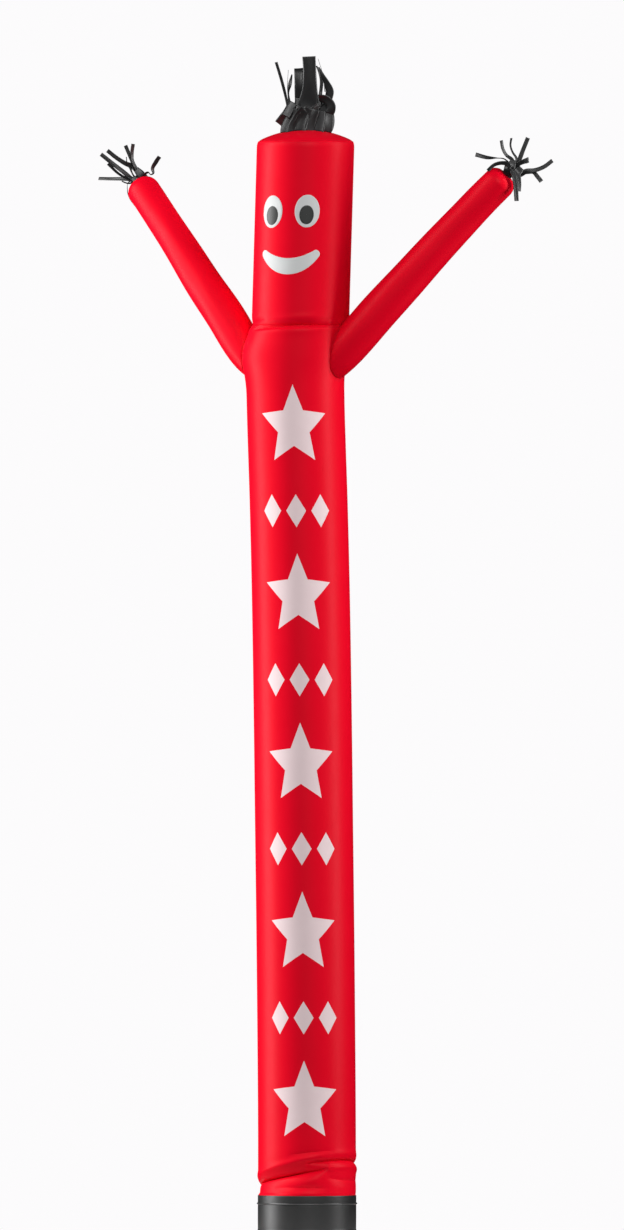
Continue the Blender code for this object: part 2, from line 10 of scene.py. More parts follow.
import bpy
import numpy as np
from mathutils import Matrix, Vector


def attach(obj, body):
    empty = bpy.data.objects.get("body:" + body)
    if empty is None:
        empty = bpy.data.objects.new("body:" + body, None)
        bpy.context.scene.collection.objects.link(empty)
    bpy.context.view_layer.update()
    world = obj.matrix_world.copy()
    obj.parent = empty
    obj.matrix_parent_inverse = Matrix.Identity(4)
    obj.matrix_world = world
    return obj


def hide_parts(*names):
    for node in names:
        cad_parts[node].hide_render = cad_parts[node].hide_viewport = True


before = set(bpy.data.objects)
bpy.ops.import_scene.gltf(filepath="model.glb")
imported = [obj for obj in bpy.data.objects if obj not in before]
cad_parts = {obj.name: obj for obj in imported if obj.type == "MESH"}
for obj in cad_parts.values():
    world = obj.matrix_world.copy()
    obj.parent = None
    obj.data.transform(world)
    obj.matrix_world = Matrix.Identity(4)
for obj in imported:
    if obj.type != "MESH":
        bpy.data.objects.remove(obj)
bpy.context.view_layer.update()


def mm(*lengths):
    """Lengths in metres, from millimetres."""
    return tuple(length / 1000 for length in lengths)


def table(kind, *rows):
    return [kind(*row) for row in rows]


# ---------------------------------------------------------------- sizes shared with the solids
TUBE_RADIUS = 0.2285
COLLAR_RADIUS = 0.2300
COLLAR_HEIGHT = 0.180
NECK_HEIGHT = 4.236
RIM_HEIGHT = 5.092
CROWN_RISE = 0.054
COLLAR_X = -0.096
COLLAR_Y = -0.176
CLOTH_WALL = 0.0025
COLLAR_WALL = 0.0030
GAP = 0.0003
TUCK = 0.035
WELT_BELOW_EDGE = 0.0385
RIM_RADIUS = 0.2215
RIM_TURN = 0.030
RIM_BEND = math.radians(66)
NECK_DRAW_IN = 0.0055
NECK_DRAW_AT = 4.232
NECK_DRAW_ABOVE = 0.020
NECK_DRAW_BELOW = 0.011
HEAD_NARROWER = 0.0010
SPREAD_START = 0.002
SPREAD_HEIGHT = 0.010

Sway = namedtuple("Sway", "height across deep")
SWAY = table(
    Sway,
    (0, 0, 0), (0.53, 0, 0), (1.32, -0.007, 0.006), (1.88, -0.014, 0.011), (2.44, -0.021, 0.014),
    (3, -0.03, 0.014), (3.42, -0.04, 0.011), (3.7, -0.049, 0.007), (3.89, -0.054, 0.003),
    (4.1, -0.055, -0.002), (4.236, -0.0316, -0.008), (4.3, -0.0297, -0.0103),
    (4.63, -0.0198, -0.022), (5.14, -0.0046, -0.04),
)

# A fold runs round the tube from one angle to another, and its crease goes from low to high with
# a bow in the middle. It is deepest at its peak, a share of its length. The cloth sinks to the
# crease within one distance above it and another below it, each given where the fold starts and
# where it ends; nip is a sharp tuck at the crease itself. Over and under are how far the cloth
# swells beside it, and droop is how far its upper lip hangs down over it.
Fold = namedtuple(
    "Fold",
    "start end low high bow peak depth nip above_start above_end below_start below_end over under"
    " droop",
)


def fold_table(*rows):
    """Folds from rows whose lengths are in millimetres from the depth on."""
    return [Fold(*row[:6], *mm(*row[6:])) for row in rows]


BASE_FOLDS = fold_table(
    (-120, 25, 0.215, 0.306, 0.004, 0.67, 34, 17, 4, 46, 130, 6, 6, 1, 8),
    (-104, -4, 0.23, 0.29, 0.002, 0.5, 12, 10, 6, 12, 10, 8, 2, 0, 4),
    (-2, 128, 0.327, 0.296, 0.035, 0.46, 14, 9, 10, 9, 10, 12, 3, 6, 5),
    (104, 232, 0.336, 0.27, -0.012, 0.5, 12, 6, 12, 18, 12, 10, 2, 6, 5),
    (196, 250, 0.216, 0.21, 0.01, 0.5, 8, 3, 12, 12, 10, 10, 2, 4, 3),
    (-46, 26, 0.217, 0.214, 0.002, 0.56, 11, 0.5, 16, 18, 16, 16, 0.5, 1, 0),
    (26, 96, 0.262, 0.25, -0.006, 0.4, 5, 1, 14, 14, 14, 14, 1, 1, 0),
    (-22, 34, 0.372, 0.392, 0.002, 0.5, 3, 2, 12, 12, 10, 8, 0, 3, 1),
)
# The folds at the neck cross its seam, so the body and the head share them
NECK_FOLDS = fold_table(
    (-66, 37, 4.215, 4.235, 0.005, 0.47, 16, 3, 12, 20, 5, 6, 2.4, 1.2, 1),
    (20, 84, 4.254, 4.272, 0.004, 0.6, 4, 0, 20, 20, 12, 12, 0, 2, 0),
    (-94, -46, 4.24, 4.264, 0, 0.5, 6.5, 2, 10, 10, 7, 7, 1, 2, 1),
    (128, 214, 4.258, 4.252, 0.012, 0.5, 9, 2, 8, 8, 14, 14, 1, 0, 2),
)
BODY_FOLDS = BASE_FOLDS + NECK_FOLDS
NIP_REACH = 0.0050
LIP_AWAY = 0.022
LIP_SPREAD = 0.016
DROOP_AWAY = 0.010
DROOP_SPREAD = 0.012
CREASE_POWER = 1.3
FOLD_FADE = 0.6

Shoulder = namedtuple("Shoulder", "angle height full spread")
SHOULDERS = [Shoulder(-108, 4.100, 0.024, 0.095), Shoulder(66, 4.100, 0.014, 0.090)]

Station = namedtuple("Station", "number across deep height radius")
LEFT_ARM = table(
    Station,
    (0, -0.13, 0.03, 4.01, 0.09), (1, -0.266, 0.074, 4.104, 0.091),
    (2, -0.383, 0.15, 4.284, 0.091), (3, -0.498, 0.252, 4.456, 0.086),
    (4, -0.637, 0.4, 4.679, 0.0775), (5, -0.764, 0.56, 4.871, 0.076),
)
RIGHT_ARM = table(
    Station,
    (0, 0.03, -0.05, 4.01, 0.09), (1, 0.1586, -0.098, 4.104, 0.091),
    (2, 0.3498, -0.14, 4.315, 0.091), (3, 0.5526, -0.178, 4.539, 0.085),
    (4, 0.756, -0.218, 4.757, 0.079), (5, 0.8935, -0.2535, 4.8985, 0.077),
)
ARM_END_ROUND = 0.050
ARM_OPENING = 0.026

Eye = namedtuple("Eye", "name angle height width tall tilt")
EYE_WHITES = [
    Eye("eye_white_left", -40.0, 4.763, 0.114, 0.151, 5.0),
    Eye("eye_white_right", 4.3, 4.765, 0.118, 0.152, 1.0),
]
PUPILS = [
    Eye("pupil_left", -39.7, 4.745, 0.068, 0.089, 4.0),
    Eye("pupil_right", 3.6, 4.748, 0.068, 0.089, 1.0),
]
SMILE_ANGLE = -16.6
SMILE_BOTTOM = 4.471
SMILE_HALF_WIDTH = 0.130
SMILE_TIP_RISE = 0.094
SMILE_TIP_RADIUS = 0.0195
SMILE_HALF_THICK = 0.0375

# ---------------------------------------------------------------- fineness and cloth
TUBE_SIDES = 144
ARM_SIDES = 88
ARM_ROWS = 110
SHEET = 0.0008
COLLAR_SHEET = 0.0016
RIBBON_SHEET = 0.0007
Band = namedtuple("Band", "start end steps")
BODY_BANDS = [
    Band(COLLAR_HEIGHT - TUCK, COLLAR_HEIGHT - 0.003, 4),
    Band(COLLAR_HEIGHT, 0.400, 104),
    Band(0.416, 3.860, 92),
    Band(3.870, 4.190, 36),
    Band(4.196, NECK_HEIGHT - GAP / 2, 16),
]
HEAD_BANDS = [
    Band(NECK_HEIGHT + GAP / 2, 4.330, 34),
    Band(4.345, 5.045, 30),
    Band(RIM_HEIGHT - RIM_TURN, RIM_HEIGHT, 14),
]


# ---------------------------------------------------------------- the tube's surface
def curve_at(keys, values, slopes, at):
    """Values at places on one smooth curve through rows of keys, values and slopes."""
    i = np.clip(np.searchsorted(keys, at, side="right") - 1, 0, len(keys) - 2)
    span = keys[i + 1] - keys[i]
    t = (at - keys[i]) / span
    if values.ndim == 2:
        span, t = span[:, None], t[:, None]
    return (
        (2 * t**3 - 3 * t**2 + 1) * values[i]
        + (t**3 - 2 * t**2 + t) * span * slopes[i]
        + (3 * t**2 - 2 * t**3) * values[i + 1]
        + (t**3 - t**2) * span * slopes[i + 1]
    )


def along_table(rows, key, column, at):
    """A column of a table at values of its key column, on one smooth curve through the rows."""
    pairs = np.array([(getattr(row, key), getattr(row, column)) for row in rows], float)
    keys, values = pairs.T
    low = np.maximum(np.arange(len(rows)) - 1, 0)
    high = np.minimum(np.arange(len(rows)) + 1, len(rows) - 1)
    slopes = (values[high] - values[low]) / (keys[high] - keys[low])
    return curve_at(keys, values, slopes, np.clip(at, keys[0], keys[-1]))


def unit(vectors):
    return vectors / np.linalg.norm(vectors, axis=-1, keepdims=True)


def even_turns(count):
    return np.arange(count) / count * 2 * np.pi


def around(side, up, turn):
    """Directions at turns from one direction towards another."""
    return side * np.cos(turn)[..., None] + up * np.sin(turn)[..., None]


def uv_grid(along, up):
    return np.stack(np.meshgrid(along, up), axis=-1)


def stacked(x, y, z):
    """Points from their three coordinates, whatever the shapes they come in."""
    return np.stack(np.broadcast_arrays(x, y, z), axis=-1)


def outwards(angle):
    turn = np.radians(angle)
    return stacked(np.sin(turn), -np.cos(turn), 0.0)


def centre_at(height):
    across, deep = (along_table(SWAY, "height", name, height) for name in ("across", "deep"))
    return stacked(COLLAR_X + across, COLLAR_Y + deep, height)


def round_tube(points):
    """The angle of points round the tube, and how far out they are from its middle line."""
    offset = points - centre_at(points[..., 2])
    angle = np.degrees(np.arctan2(offset[..., 0], -offset[..., 1]))
    return angle, np.hypot(offset[..., 0], offset[..., 1])


def bell(distance, width):
    return np.exp(-((distance / width) ** 2))


def smooth(value):
    value = np.clip(value, 0.0, 1.0)
    return value * value * (3 - 2 * value)


def fold_moves(folds, angle, height):
    """How far the folds move the cloth outwards, and how far they let it droop."""
    push, drop = 0.0, 0.0
    for fold in folds:
        share = np.mod(angle - fold.start, 360) / (fold.end - fold.start)
        inside = share < 1
        share = np.clip(share, 0, 1)
        line = fold.low + (fold.high - fold.low) * share + fold.bow * 4 * share * (1 - share)
        lean = math.log(0.5) / math.log(fold.peak)
        fade = np.where(inside, np.sin(np.pi * share**lean) ** FOLD_FADE, 0.0)
        away = height - line
        above = fold.above_start + (fold.above_end - fold.above_start) * share
        below = fold.below_start + (fold.below_end - fold.below_start) * share
        reach = np.where(away > 0, above, below)
        push = push - fade * fold.depth * np.exp(-(np.abs(away) / reach) ** CREASE_POWER)
        push = push - fade * fold.nip * np.exp(-(np.abs(away) / NIP_REACH))
        push = push + fade * fold.over * bell(away - above - LIP_AWAY, LIP_SPREAD)
        push = push + fade * fold.under * bell(away + below + LIP_AWAY, LIP_SPREAD)
        drop = drop + fade * fold.droop * bell(away - DROOP_AWAY, DROOP_SPREAD)
    return push, drop


# Air holds the cloth nearly round: a few long, shallow waves run round it and climb it
Wave = namedtuple("Wave", "size count start climb")
TUBE_WAVES = [Wave(0.00055, 3, 0.4, 0.9), Wave(0.00040, 5, 2.1, -0.7), Wave(0.00030, 8, 4.0, 1.6)]
SLEEVE_WAVES = [Wave(0.0006, 3, 0.0, 5), Wave(0.0004, 5, 0.0, -3)]


def waved(waves, turn, height):
    return sum(w.size * np.sin(w.count * turn + w.start + w.climb * height) for w in waves)


def plain_radius(angle, height):
    """The tube's radius with its waves and the drawing in at its neck, without its folds."""
    away = height - NECK_DRAW_AT
    draw = bell(away, np.where(away > 0, NECK_DRAW_ABOVE, NECK_DRAW_BELOW))
    return TUBE_RADIUS - NECK_DRAW_IN * draw + waved(TUBE_WAVES, np.radians(angle), height)


# A seam draws the cloth into a narrow valley, and gathers it into small puckers beside it
SEAM_DEPTH = 0.0028
SEAM_WIDTH = 0.0045
PUCKER_SIZE = 0.0011
PUCKER_REACH = 0.020
PUCKER_START = 0.4 * PUCKER_REACH
PUCKER_DRIFT = 1.3
PUCKER_VARIES = 0.35
PUCKER_SWELLS = 5


def seam_nip(distance, along, seam):
    """The valley at a seam and the puckers beside it; along is the share of the way round."""
    away = np.abs(distance)
    turn = 2 * np.pi * along
    pucker = np.sin(seam.puckers * turn + PUCKER_DRIFT * np.sin(3 * turn))
    pucker = pucker * (1 - PUCKER_VARIES + PUCKER_VARIES * np.sin(PUCKER_SWELLS * turn + 1))
    reach = np.exp(-away / PUCKER_REACH) * (1 - np.exp(-away / PUCKER_START))
    return seam.size * (-SEAM_DEPTH * bell(away, SEAM_WIDTH) + 2 * PUCKER_SIZE * pucker * reach)


def body_radius(angle, height):
    push, _ = fold_moves(BODY_FOLDS, angle, height)
    radius = plain_radius(angle, height) + push
    for shoulder in SHOULDERS:
        facing = np.maximum(0.0, np.cos(np.radians(angle - shoulder.angle)))
        swell = bell(height - shoulder.height, shoulder.spread)
        radius = radius + shoulder.full * facing**2 * swell
    tucked = COLLAR_RADIUS - COLLAR_WALL - GAP
    blend = smooth((height - COLLAR_HEIGHT - SPREAD_START) / SPREAD_HEIGHT)
    return tucked + (radius - tucked) * blend


def head_radius(angle, height):
    push, _ = fold_moves(NECK_FOLDS, angle, height)
    radius = plain_radius(angle, height) - HEAD_NARROWER + push
    turn = np.clip((height - RIM_HEIGHT + RIM_TURN) / RIM_TURN, 0.0, 1.0)
    bend = np.cos(np.arcsin(turn * math.sin(RIM_BEND)))
    return radius - (radius - RIM_RADIUS) * (1 - bend) / (1 - math.cos(RIM_BEND))


def plain_skin(angle, height):
    """The radius of the body or the head, whichever is at that height."""
    return np.where(height < NECK_HEIGHT, body_radius(angle, height), head_radius(angle, height))


# ---------------------------------------------------------------- the arms' surfaces
ROUTE_STEP = 0.02
ROOT_SHARE = 0.6
ROOT_STEPS = 700
NEAR_SHARE = 0.5
NEAR_STEPS = 90


class Arm:
    """A tapered sleeve: its route, and where each line along it leaves the body."""

    def __init__(self, stations):
        self.stations = stations
        self.last = stations[-1].number
        self.angles = even_turns(ARM_SIDES)
        self.roots = self.find_roots()

    def column(self, name, at):
        return along_table(self.stations, "number", name, at)

    def centre(self, at):
        across, deep, height = (self.column(name, at) for name in ("across", "deep", "height"))
        return stacked(COLLAR_X + across, COLLAR_Y + deep, height)

    def axes(self, at):
        ahead = self.centre(np.minimum(at + ROUTE_STEP, self.last))
        run = unit(ahead - self.centre(np.maximum(at - ROUTE_STEP, 0)))
        side = unit(np.cross(run, (0.0, 0.0, 1.0)))
        return run, side, np.cross(side, run)

    def point(self, at, turn, grow=0.0):
        _, side, up = self.axes(at)
        radius = (self.column("radius", at) + grow)[..., None]
        return self.centre(at) + around(side, up, turn) * radius

    def find_roots(self):
        """For each line along the sleeve, the last place where it is inside the body or head."""
        at = np.linspace(0, ROOT_SHARE * self.last, ROOT_STEPS)
        grid_at, grid_turn = np.meshgrid(at, self.angles, indexing="ij")
        points = self.point(grid_at, grid_turn)
        angle, far = round_tube(points)
        inside = far < plain_skin(angle, points[..., 2])
        last_inside = len(at) - 1 - np.argmax(inside[::-1], axis=0)
        return at[last_inside]

    def distance(self, points):
        """How far points lie outside the sleeve's surface, as if it ran on into the body, and
        their share of the way round it."""
        at = np.linspace(0, NEAR_SHARE * self.last, NEAR_STEPS)
        _, side, up = self.axes(at)
        best = np.full(points.shape[:-1], np.inf)
        turn = np.zeros(points.shape[:-1])
        for centre, radius, s, u in zip(self.centre(at), self.column("radius", at), side, up):
            away = points - centre
            far = np.linalg.norm(away, axis=-1) - radius
            nearer = far < best
            best = np.where(nearer, far, best)
            turn = np.where(nearer, np.arctan2(away @ u, away @ s), turn)
        return best, turn / (2 * np.pi)


ARMS = {"left": Arm(LEFT_ARM), "right": Arm(RIGHT_ARM)}
ARMS_ABOVE = 3.8

# How many puckers a seam has all the way round, and how strongly it draws the cloth in
Seam = namedtuple("Seam", "puckers size")
NECK_SEAM = Seam(41, 0.35)
COLLAR_SEAM = Seam(53, 0.35)
RIM_SEAM = Seam(47, 0.25)
ARMHOLE_SEAM = Seam(17, 0.6)
SLEEVE_SEAM = Seam(17, 0.7)
COLLAR_SEAM_START = 0.008


def skin_points(kind, angle, height):
    """Points of the body's or the head's cloth, with its folds, seams and puckers."""
    folds = BODY_FOLDS if kind == "body" else NECK_FOLDS
    radius = (body_radius if kind == "body" else head_radius)(angle, height)
    _, drop = fold_moves(folds, angle, height)
    share = angle / 360
    radius = radius + seam_nip(height - NECK_HEIGHT, share, NECK_SEAM)
    if kind == "body":
        above = height - COLLAR_HEIGHT
        radius = radius + seam_nip(above, share, COLLAR_SEAM) * smooth(above / COLLAR_SEAM_START)
    else:
        radius = radius + seam_nip(RIM_HEIGHT - height, share, RIM_SEAM)
    points = centre_at(height) + outwards(angle) * radius[..., None]
    for arm in ARMS.values():
        nip = np.where(height > ARMS_ABOVE, seam_nip(*arm.distance(points), ARMHOLE_SEAM), 0.0)
        points = points + outwards(angle) * nip[..., None]
    points[..., 2] -= drop
    return points


# ---------------------------------------------------------------- making meshes
def in_scene(name, data):
    """A new object in the scene, at the origin."""
    made = bpy.data.objects.new(name, data)
    bpy.context.scene.collection.objects.link(made)
    return made


def mesh_object(name, points, faces, uvs, finish):
    """An object at the origin from points, faces and a UV for each face corner."""
    mesh = bpy.data.meshes.new(name)
    mesh.from_pydata(np.asarray(points).reshape(-1, 3).tolist(), [], faces)
    layer = mesh.uv_layers.new(name="cloth")
    layer.data.foreach_set("uv", np.asarray(uvs, np.float32).ravel())
    mesh.shade_smooth()
    mesh.materials.append(finish)
    return in_scene(name, mesh)


def grid_faces(points, uv, closed):
    """The corners of each cell of a grid of points, and their UVs. A closed grid joins its last
    column to its first, and its UV grid has one column more."""
    rows, sides = points.shape[:2]
    columns = sides if closed else sides - 1
    low, here = np.meshgrid(np.arange(rows - 1), np.arange(columns), indexing="ij")
    first, second = low * sides + here, low * sides + (here + 1) % sides
    corners = np.stack([first, second, second + sides, first + sides], axis=-1)
    corner_uv = np.stack([uv[:-1, :-1], uv[:-1, 1:], uv[1:, 1:], uv[1:, :-1]], axis=2)
    return corners, corner_uv


def grid_piece(name, points, uv, finish, closed=True, flip=False, keep=None):
    """A sheet from a grid of points. Keep, where given, says which cells of the grid are cloth."""
    corners, corner_uv = grid_faces(points, uv, closed)
    if flip:
        corners, corner_uv = corners[..., ::-1], corner_uv[:, :, ::-1]
    if keep is not None:
        corners, corner_uv = corners[keep], corner_uv[keep]
    faces = corners.reshape(-1, 4)
    points = points.reshape(-1, 3)
    used = np.unique(faces)
    place = np.zeros(len(points), int)
    place[used] = np.arange(len(used))
    return mesh_object(name, points[used], place[faces].tolist(), corner_uv, finish)


def thicken(piece, thickness, offset=-1.0):
    """Gives a sheet its thickness, and makes it a plain mesh."""
    step = piece.modifiers.new("thickness", "SOLIDIFY")
    step.thickness = thickness
    step.offset = offset
    step.use_even_offset = False
    plain(piece)


def plain(piece):
    """Works the piece's modifiers into its mesh."""
    graph = bpy.context.evaluated_depsgraph_get()
    mesh = bpy.data.meshes.new_from_object(piece.evaluated_get(graph))
    piece.modifiers.clear()
    old = piece.data
    piece.data = mesh
    bpy.data.meshes.remove(old)


def finished(piece, slot, *nodes):
    """The piece rides on the figure and stands for its solids. The slot is not used."""
    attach(piece, "root")
    if nodes:
        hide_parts(*nodes)


def sewn(name, points, uv, finish, thickness, slot, node, **shape):
    """A sheet of cloth from a grid of points, with its finish, which stands for a solid."""
    piece = grid_piece(name, points, uv, MATERIALS[finish], **shape)
    if thickness:
        thicken(piece, thickness)
    finished(piece, slot, node)
    return piece


def ring_heights(bands):
    return np.concatenate([np.linspace(b.start, b.end, b.steps + 1) for b in bands])


# ---------------------------------------------------------------- materials

# The mix node's sockets for two colours, and for the colour they make
MIX_COLOURS = slice(6, 8)
MIX_RESULT = 2


class Nodes:
    """A node tree, where an input is linked to an output or set to a value, whichever is given."""

    def __init__(self, tree):
        self.tree = tree

    def give(self, socket, value):
        if isinstance(value, bpy.types.NodeSocket):
            self.tree.links.new(value, socket)
        else:
            socket.default_value = (*value, 1.0) if socket.type == "RGBA" else value

    def add(self, kind, *inputs, **settings):
        """A node with its first inputs in order, and other inputs and properties by name."""
        node = self.tree.nodes.new(kind)
        for name, value in settings.items():
            if name in node.inputs:
                self.give(node.inputs[name], value)
            else:
                setattr(node, name, value)
        for socket, value in zip(node.inputs, inputs):
            self.give(socket, value)
        return node

    def out(self, kind, *inputs, **settings):
        return self.add(kind, *inputs, **settings).outputs[0]

    def math(self, operation, *values, clamp=False):
        return self.out("ShaderNodeMath", *values, operation=operation, use_clamp=clamp)

    def mix(self, share, first, second):
        node = self.add("ShaderNodeMix", share, data_type="RGBA")
        for socket, colour in zip(node.inputs[MIX_COLOURS], (first, second)):
            self.give(socket, colour)
        return node.outputs[MIX_RESULT]


class Finish(Nodes):
    """A material and its node tree."""

    def __init__(self, name):
        self.material = bpy.data.materials.new(name)
        self.material.use_nodes = True
        super().__init__(self.material.node_tree)
        self.shader = self.tree.nodes["Principled BSDF"]

    def shade(self, **inputs):
        """Sets or links the shader's inputs, named with underscores for spaces."""
        for name, value in inputs.items():
            self.give(self.shader.inputs[name.replace("_", " ")], value)

    def noise(self, scale, detail=2.0, roughness=0.5):
        place = self.add("ShaderNodeTexCoord").outputs["Object"]
        settings = {"Scale": scale, "Detail": detail, "Roughness": roughness}
        return self.out("ShaderNodeTexNoise", Vector=place, **settings)

    def bump(self, height, strength, distance, **under):
        settings = {"Height": height, "Strength": strength, "Distance": distance}
        return self.out("ShaderNodeBump", **settings, **under)

    def cloth_uv(self):
        return self.out("ShaderNodeUVMap", uv_map="cloth")


# Noises by scale, detail and roughness, and bumps by strength and depth
DYE_PATCHES = (7.0, 3.0)
INK_PATCHES = (14.0, 3.0)
SHEEN_PATCHES = (23.0, 4.0)
CRINKLES = (60.0, 4.0, 0.6)
CRINKLE_BUMP = (0.10, 0.0006)
WEAVE_BUMP = (0.12, 0.00004)
THREAD_HEIGHT = 0.35
ROUGHNESS_RANGE = 0.10
THREAD_ROUGHNESS = 0.55
THREAD_SHADE = 0.7
FIBRE_SCALE = 900.0
TWIST_SCALE = 2500.0
TWIST_BUMP = (0.3, 0.0002)


def weave(nodes, pitch, ripstop):
    """The height of a plain weave, with thicker threads at the ripstop pitch both ways."""
    heights = []
    for along in nodes.add("ShaderNodeSeparateXYZ", nodes.cloth_uv()).outputs[:2]:
        thread = nodes.math("SINE", nodes.math("MULTIPLY", along, 2 * math.pi / pitch))
        rib = nodes.math("LESS_THAN", nodes.math("PINGPONG", along, ripstop / 2), pitch)
        heights.append(nodes.math("ADD", nodes.math("MULTIPLY", thread, THREAD_HEIGHT), rib))
    return nodes.math("ADD", *heights)


def cloth_material(name, deep, light, roughness, pitch, ripstop, specular):
    """Dyed cloth: two close tones in soft patches, with a crinkle and a weave in the bump."""
    nodes = Finish(name)
    crinkle = nodes.bump(nodes.noise(*CRINKLES), *CRINKLE_BUMP)
    spread = (ROUGHNESS_RANGE, roughness - ROUGHNESS_RANGE / 2)
    nodes.shade(
        Base_Color=nodes.mix(nodes.noise(*DYE_PATCHES), deep, light),
        Roughness=nodes.math("MULTIPLY_ADD", nodes.noise(*SHEEN_PATCHES), *spread),
        Specular_IOR_Level=specular,
        Normal=nodes.bump(weave(nodes, pitch, ripstop), *WEAVE_BUMP, Normal=crinkle),
    )
    return nodes


PRINT_PALE = (0.88, 0.70, 0.715)
PRINT_PINK = (0.93, 0.75, 0.765)

# The printed column up the front: large stars, and rows of small lozenges between them
PRINT_LOW = 0.420
PRINT_HIGH = 3.960
STAR_COUNT = 5
STAR_RADIUS = 0.196
STAR_WAIST = 0.47
STAR_STRETCH = 0.86
LOZENGE_COUNT = 3
LOZENGE_APART = 0.118
LOZENGE_HALF_WIDE = 0.047
LOZENGE_HALF_TALL = 0.078
PRINT_ANGLE = -3.0
PRINT_EDGE = 0.0012
STAR_TIPS = 5


def star_print(nodes):
    """1 inside the printed stars and lozenges, 0 on the plain cloth."""
    add, subtract, multiply, divide = (
        partial(nodes.math, name) for name in ("ADD", "SUBTRACT", "MULTIPLY", "DIVIDE")
    )

    def nearest(value, low, high):
        return nodes.math("MINIMUM", nodes.math("MAXIMUM", nodes.math("ROUND", value), low), high)

    along, height, _ = nodes.add("ShaderNodeSeparateXYZ", nodes.cloth_uv()).outputs
    across = subtract(along, math.radians(PRINT_ANGLE) * TUBE_RADIUS)
    period = (PRINT_HIGH - PRINT_LOW - 2 * STAR_RADIUS) / (STAR_COUNT - 1)
    rows = divide(subtract(height, PRINT_LOW + STAR_RADIUS), period)

    # A star is folded onto half of one tip, whose edge is a straight line from tip to waist
    up = multiply(subtract(rows, nearest(rows, 0.0, STAR_COUNT - 1.0)), period)
    wide = divide(across, STAR_STRETCH)
    tip_turn = 2 * math.pi / STAR_TIPS
    far = nodes.math("SQRT", add(multiply(wide, wide), multiply(up, up)))
    turn = add(nodes.math("ARCTAN2", wide, up), STAR_TIPS * tip_turn)
    folded = nodes.math("PINGPONG", turn, tip_turn / 2)
    ahead = multiply(far, nodes.math("COSINE", folded))
    beside = multiply(far, nodes.math("SINE", folded))
    waist = STAR_RADIUS * STAR_WAIST
    edge = (waist * math.cos(tip_turn / 2) - STAR_RADIUS, waist * math.sin(tip_turn / 2))
    length = math.hypot(*edge)
    inward = multiply(subtract(ahead, STAR_RADIUS), -edge[1] / length)
    star = add(inward, multiply(beside, edge[0] / length))

    gaps = subtract(rows, 0.5)
    rise = multiply(subtract(gaps, nearest(gaps, 0.0, STAR_COUNT - 2.0)), period)
    most = (LOZENGE_COUNT - 1) / 2
    column = nearest(divide(across, LOZENGE_APART), -most, most)
    aside = subtract(across, multiply(column, LOZENGE_APART))
    spread = add(
        divide(nodes.math("ABSOLUTE", aside), LOZENGE_HALF_WIDE),
        divide(nodes.math("ABSOLUTE", rise), LOZENGE_HALF_TALL),
    )
    lozenge = multiply(subtract(1.0, spread), LOZENGE_HALF_WIDE)
    return divide(nodes.math("MAXIMUM", star, lozenge), PRINT_EDGE, clamp=True)


# Each cloth's name, two tones, roughness, thread pitch, ripstop pitch and specular level
RED = ((0.820, 0.0010, 0.0150), (0.860, 0.0014, 0.0190), 0.40, 0.0009, 0.007, 0.065)
COATED = ((0.006, 0.0064, 0.0063), (0.008, 0.0085, 0.0083), 0.44, 0.0014, 0.5, 0.72)
# The welt's cloth is the collar's cloth made glossier, and its lighter tones are a painted
# highlight along the cord
SHINY_PAINTED_HIGHLIGHT = ((0.016, 0.0164, 0.0163), (0.020, 0.0205, 0.0203), 0.34, 0.0008, 0.5, 1.0)
BLACK = ((0.0085, 0.0085, 0.009), (0.012, 0.012, 0.0125), 0.36, 0.0008, 0.5, 0.55)
WHITE = ((0.66, 0.67, 0.67), (0.70, 0.71, 0.705), 0.50, 0.0008, 0.5, 0.2)
GREY = ((0.026, 0.028, 0.026), (0.032, 0.034, 0.032), 0.36, 0.0008, 0.5, 0.5)
CLOTHS = {
    "red_cloth": ("red_cloth", *RED),
    "printed_red_cloth": ("printed_red_cloth", *RED),
    "collar_cloth": ("coated_collar_cloth", *COATED),
    "welt_cloth": ("shiny_welt_cloth", *SHINY_PAINTED_HIGHLIGHT),
    "ribbon_cloth": ("black_ribbon_cloth", *BLACK),
    "white_cloth": ("white_patch_cloth", *WHITE),
    "grey_cloth": ("grey_patch_cloth", *GREY),
}
THREADS = {
    "red_thread": (0.36, 0.003, 0.012),
    "black_thread": (0.018, 0.018, 0.018),
    "white_thread": (0.74, 0.72, 0.71),
}


def make_materials():
    made = {}
    for key, values in CLOTHS.items():
        nodes = cloth_material(*values)
        if key == "printed_red_cloth":
            dyed = nodes.shader.inputs["Base Color"].links[0].from_socket
            ink = nodes.mix(nodes.noise(*INK_PATCHES), PRINT_PALE, PRINT_PINK)
            nodes.shade(Base_Color=nodes.mix(star_print(nodes), dyed, ink))
        made[key] = nodes.material
    for key, colour in THREADS.items():
        nodes = Finish(key)
        shaded = tuple(THREAD_SHADE * c for c in colour)
        nodes.shade(
            Base_Color=nodes.mix(nodes.noise(FIBRE_SCALE), shaded, colour),
            Roughness=THREAD_ROUGHNESS,
            Normal=nodes.bump(nodes.noise(TWIST_SCALE), *TWIST_BUMP),
        )
        made[key] = nodes.material
    return made


MATERIALS = make_materials()


# ---------------------------------------------------------------- tubes of cloth
# Columns start at the back, where a tube's own long seam is
TUBE_ANGLES = -180 + np.arange(TUBE_SIDES) * 360 / TUBE_SIDES
SEAM_TURN_IN = 0.008
ARMHOLE_OVERLAP = 0.010


def metre_uv(heights):
    """A UV grid in metres: along the cloth from the front, and up it."""
    return uv_grid(np.radians(np.append(TUBE_ANGLES, 180.0)) * TUBE_RADIUS, heights)


def turned_in(edge):
    """A row turned in from a seam, so that the cloth's edge is never seen as a cut line."""
    return (edge + unit(centre_at(edge[:, 2]) - edge) * SEAM_TURN_IN)[None]


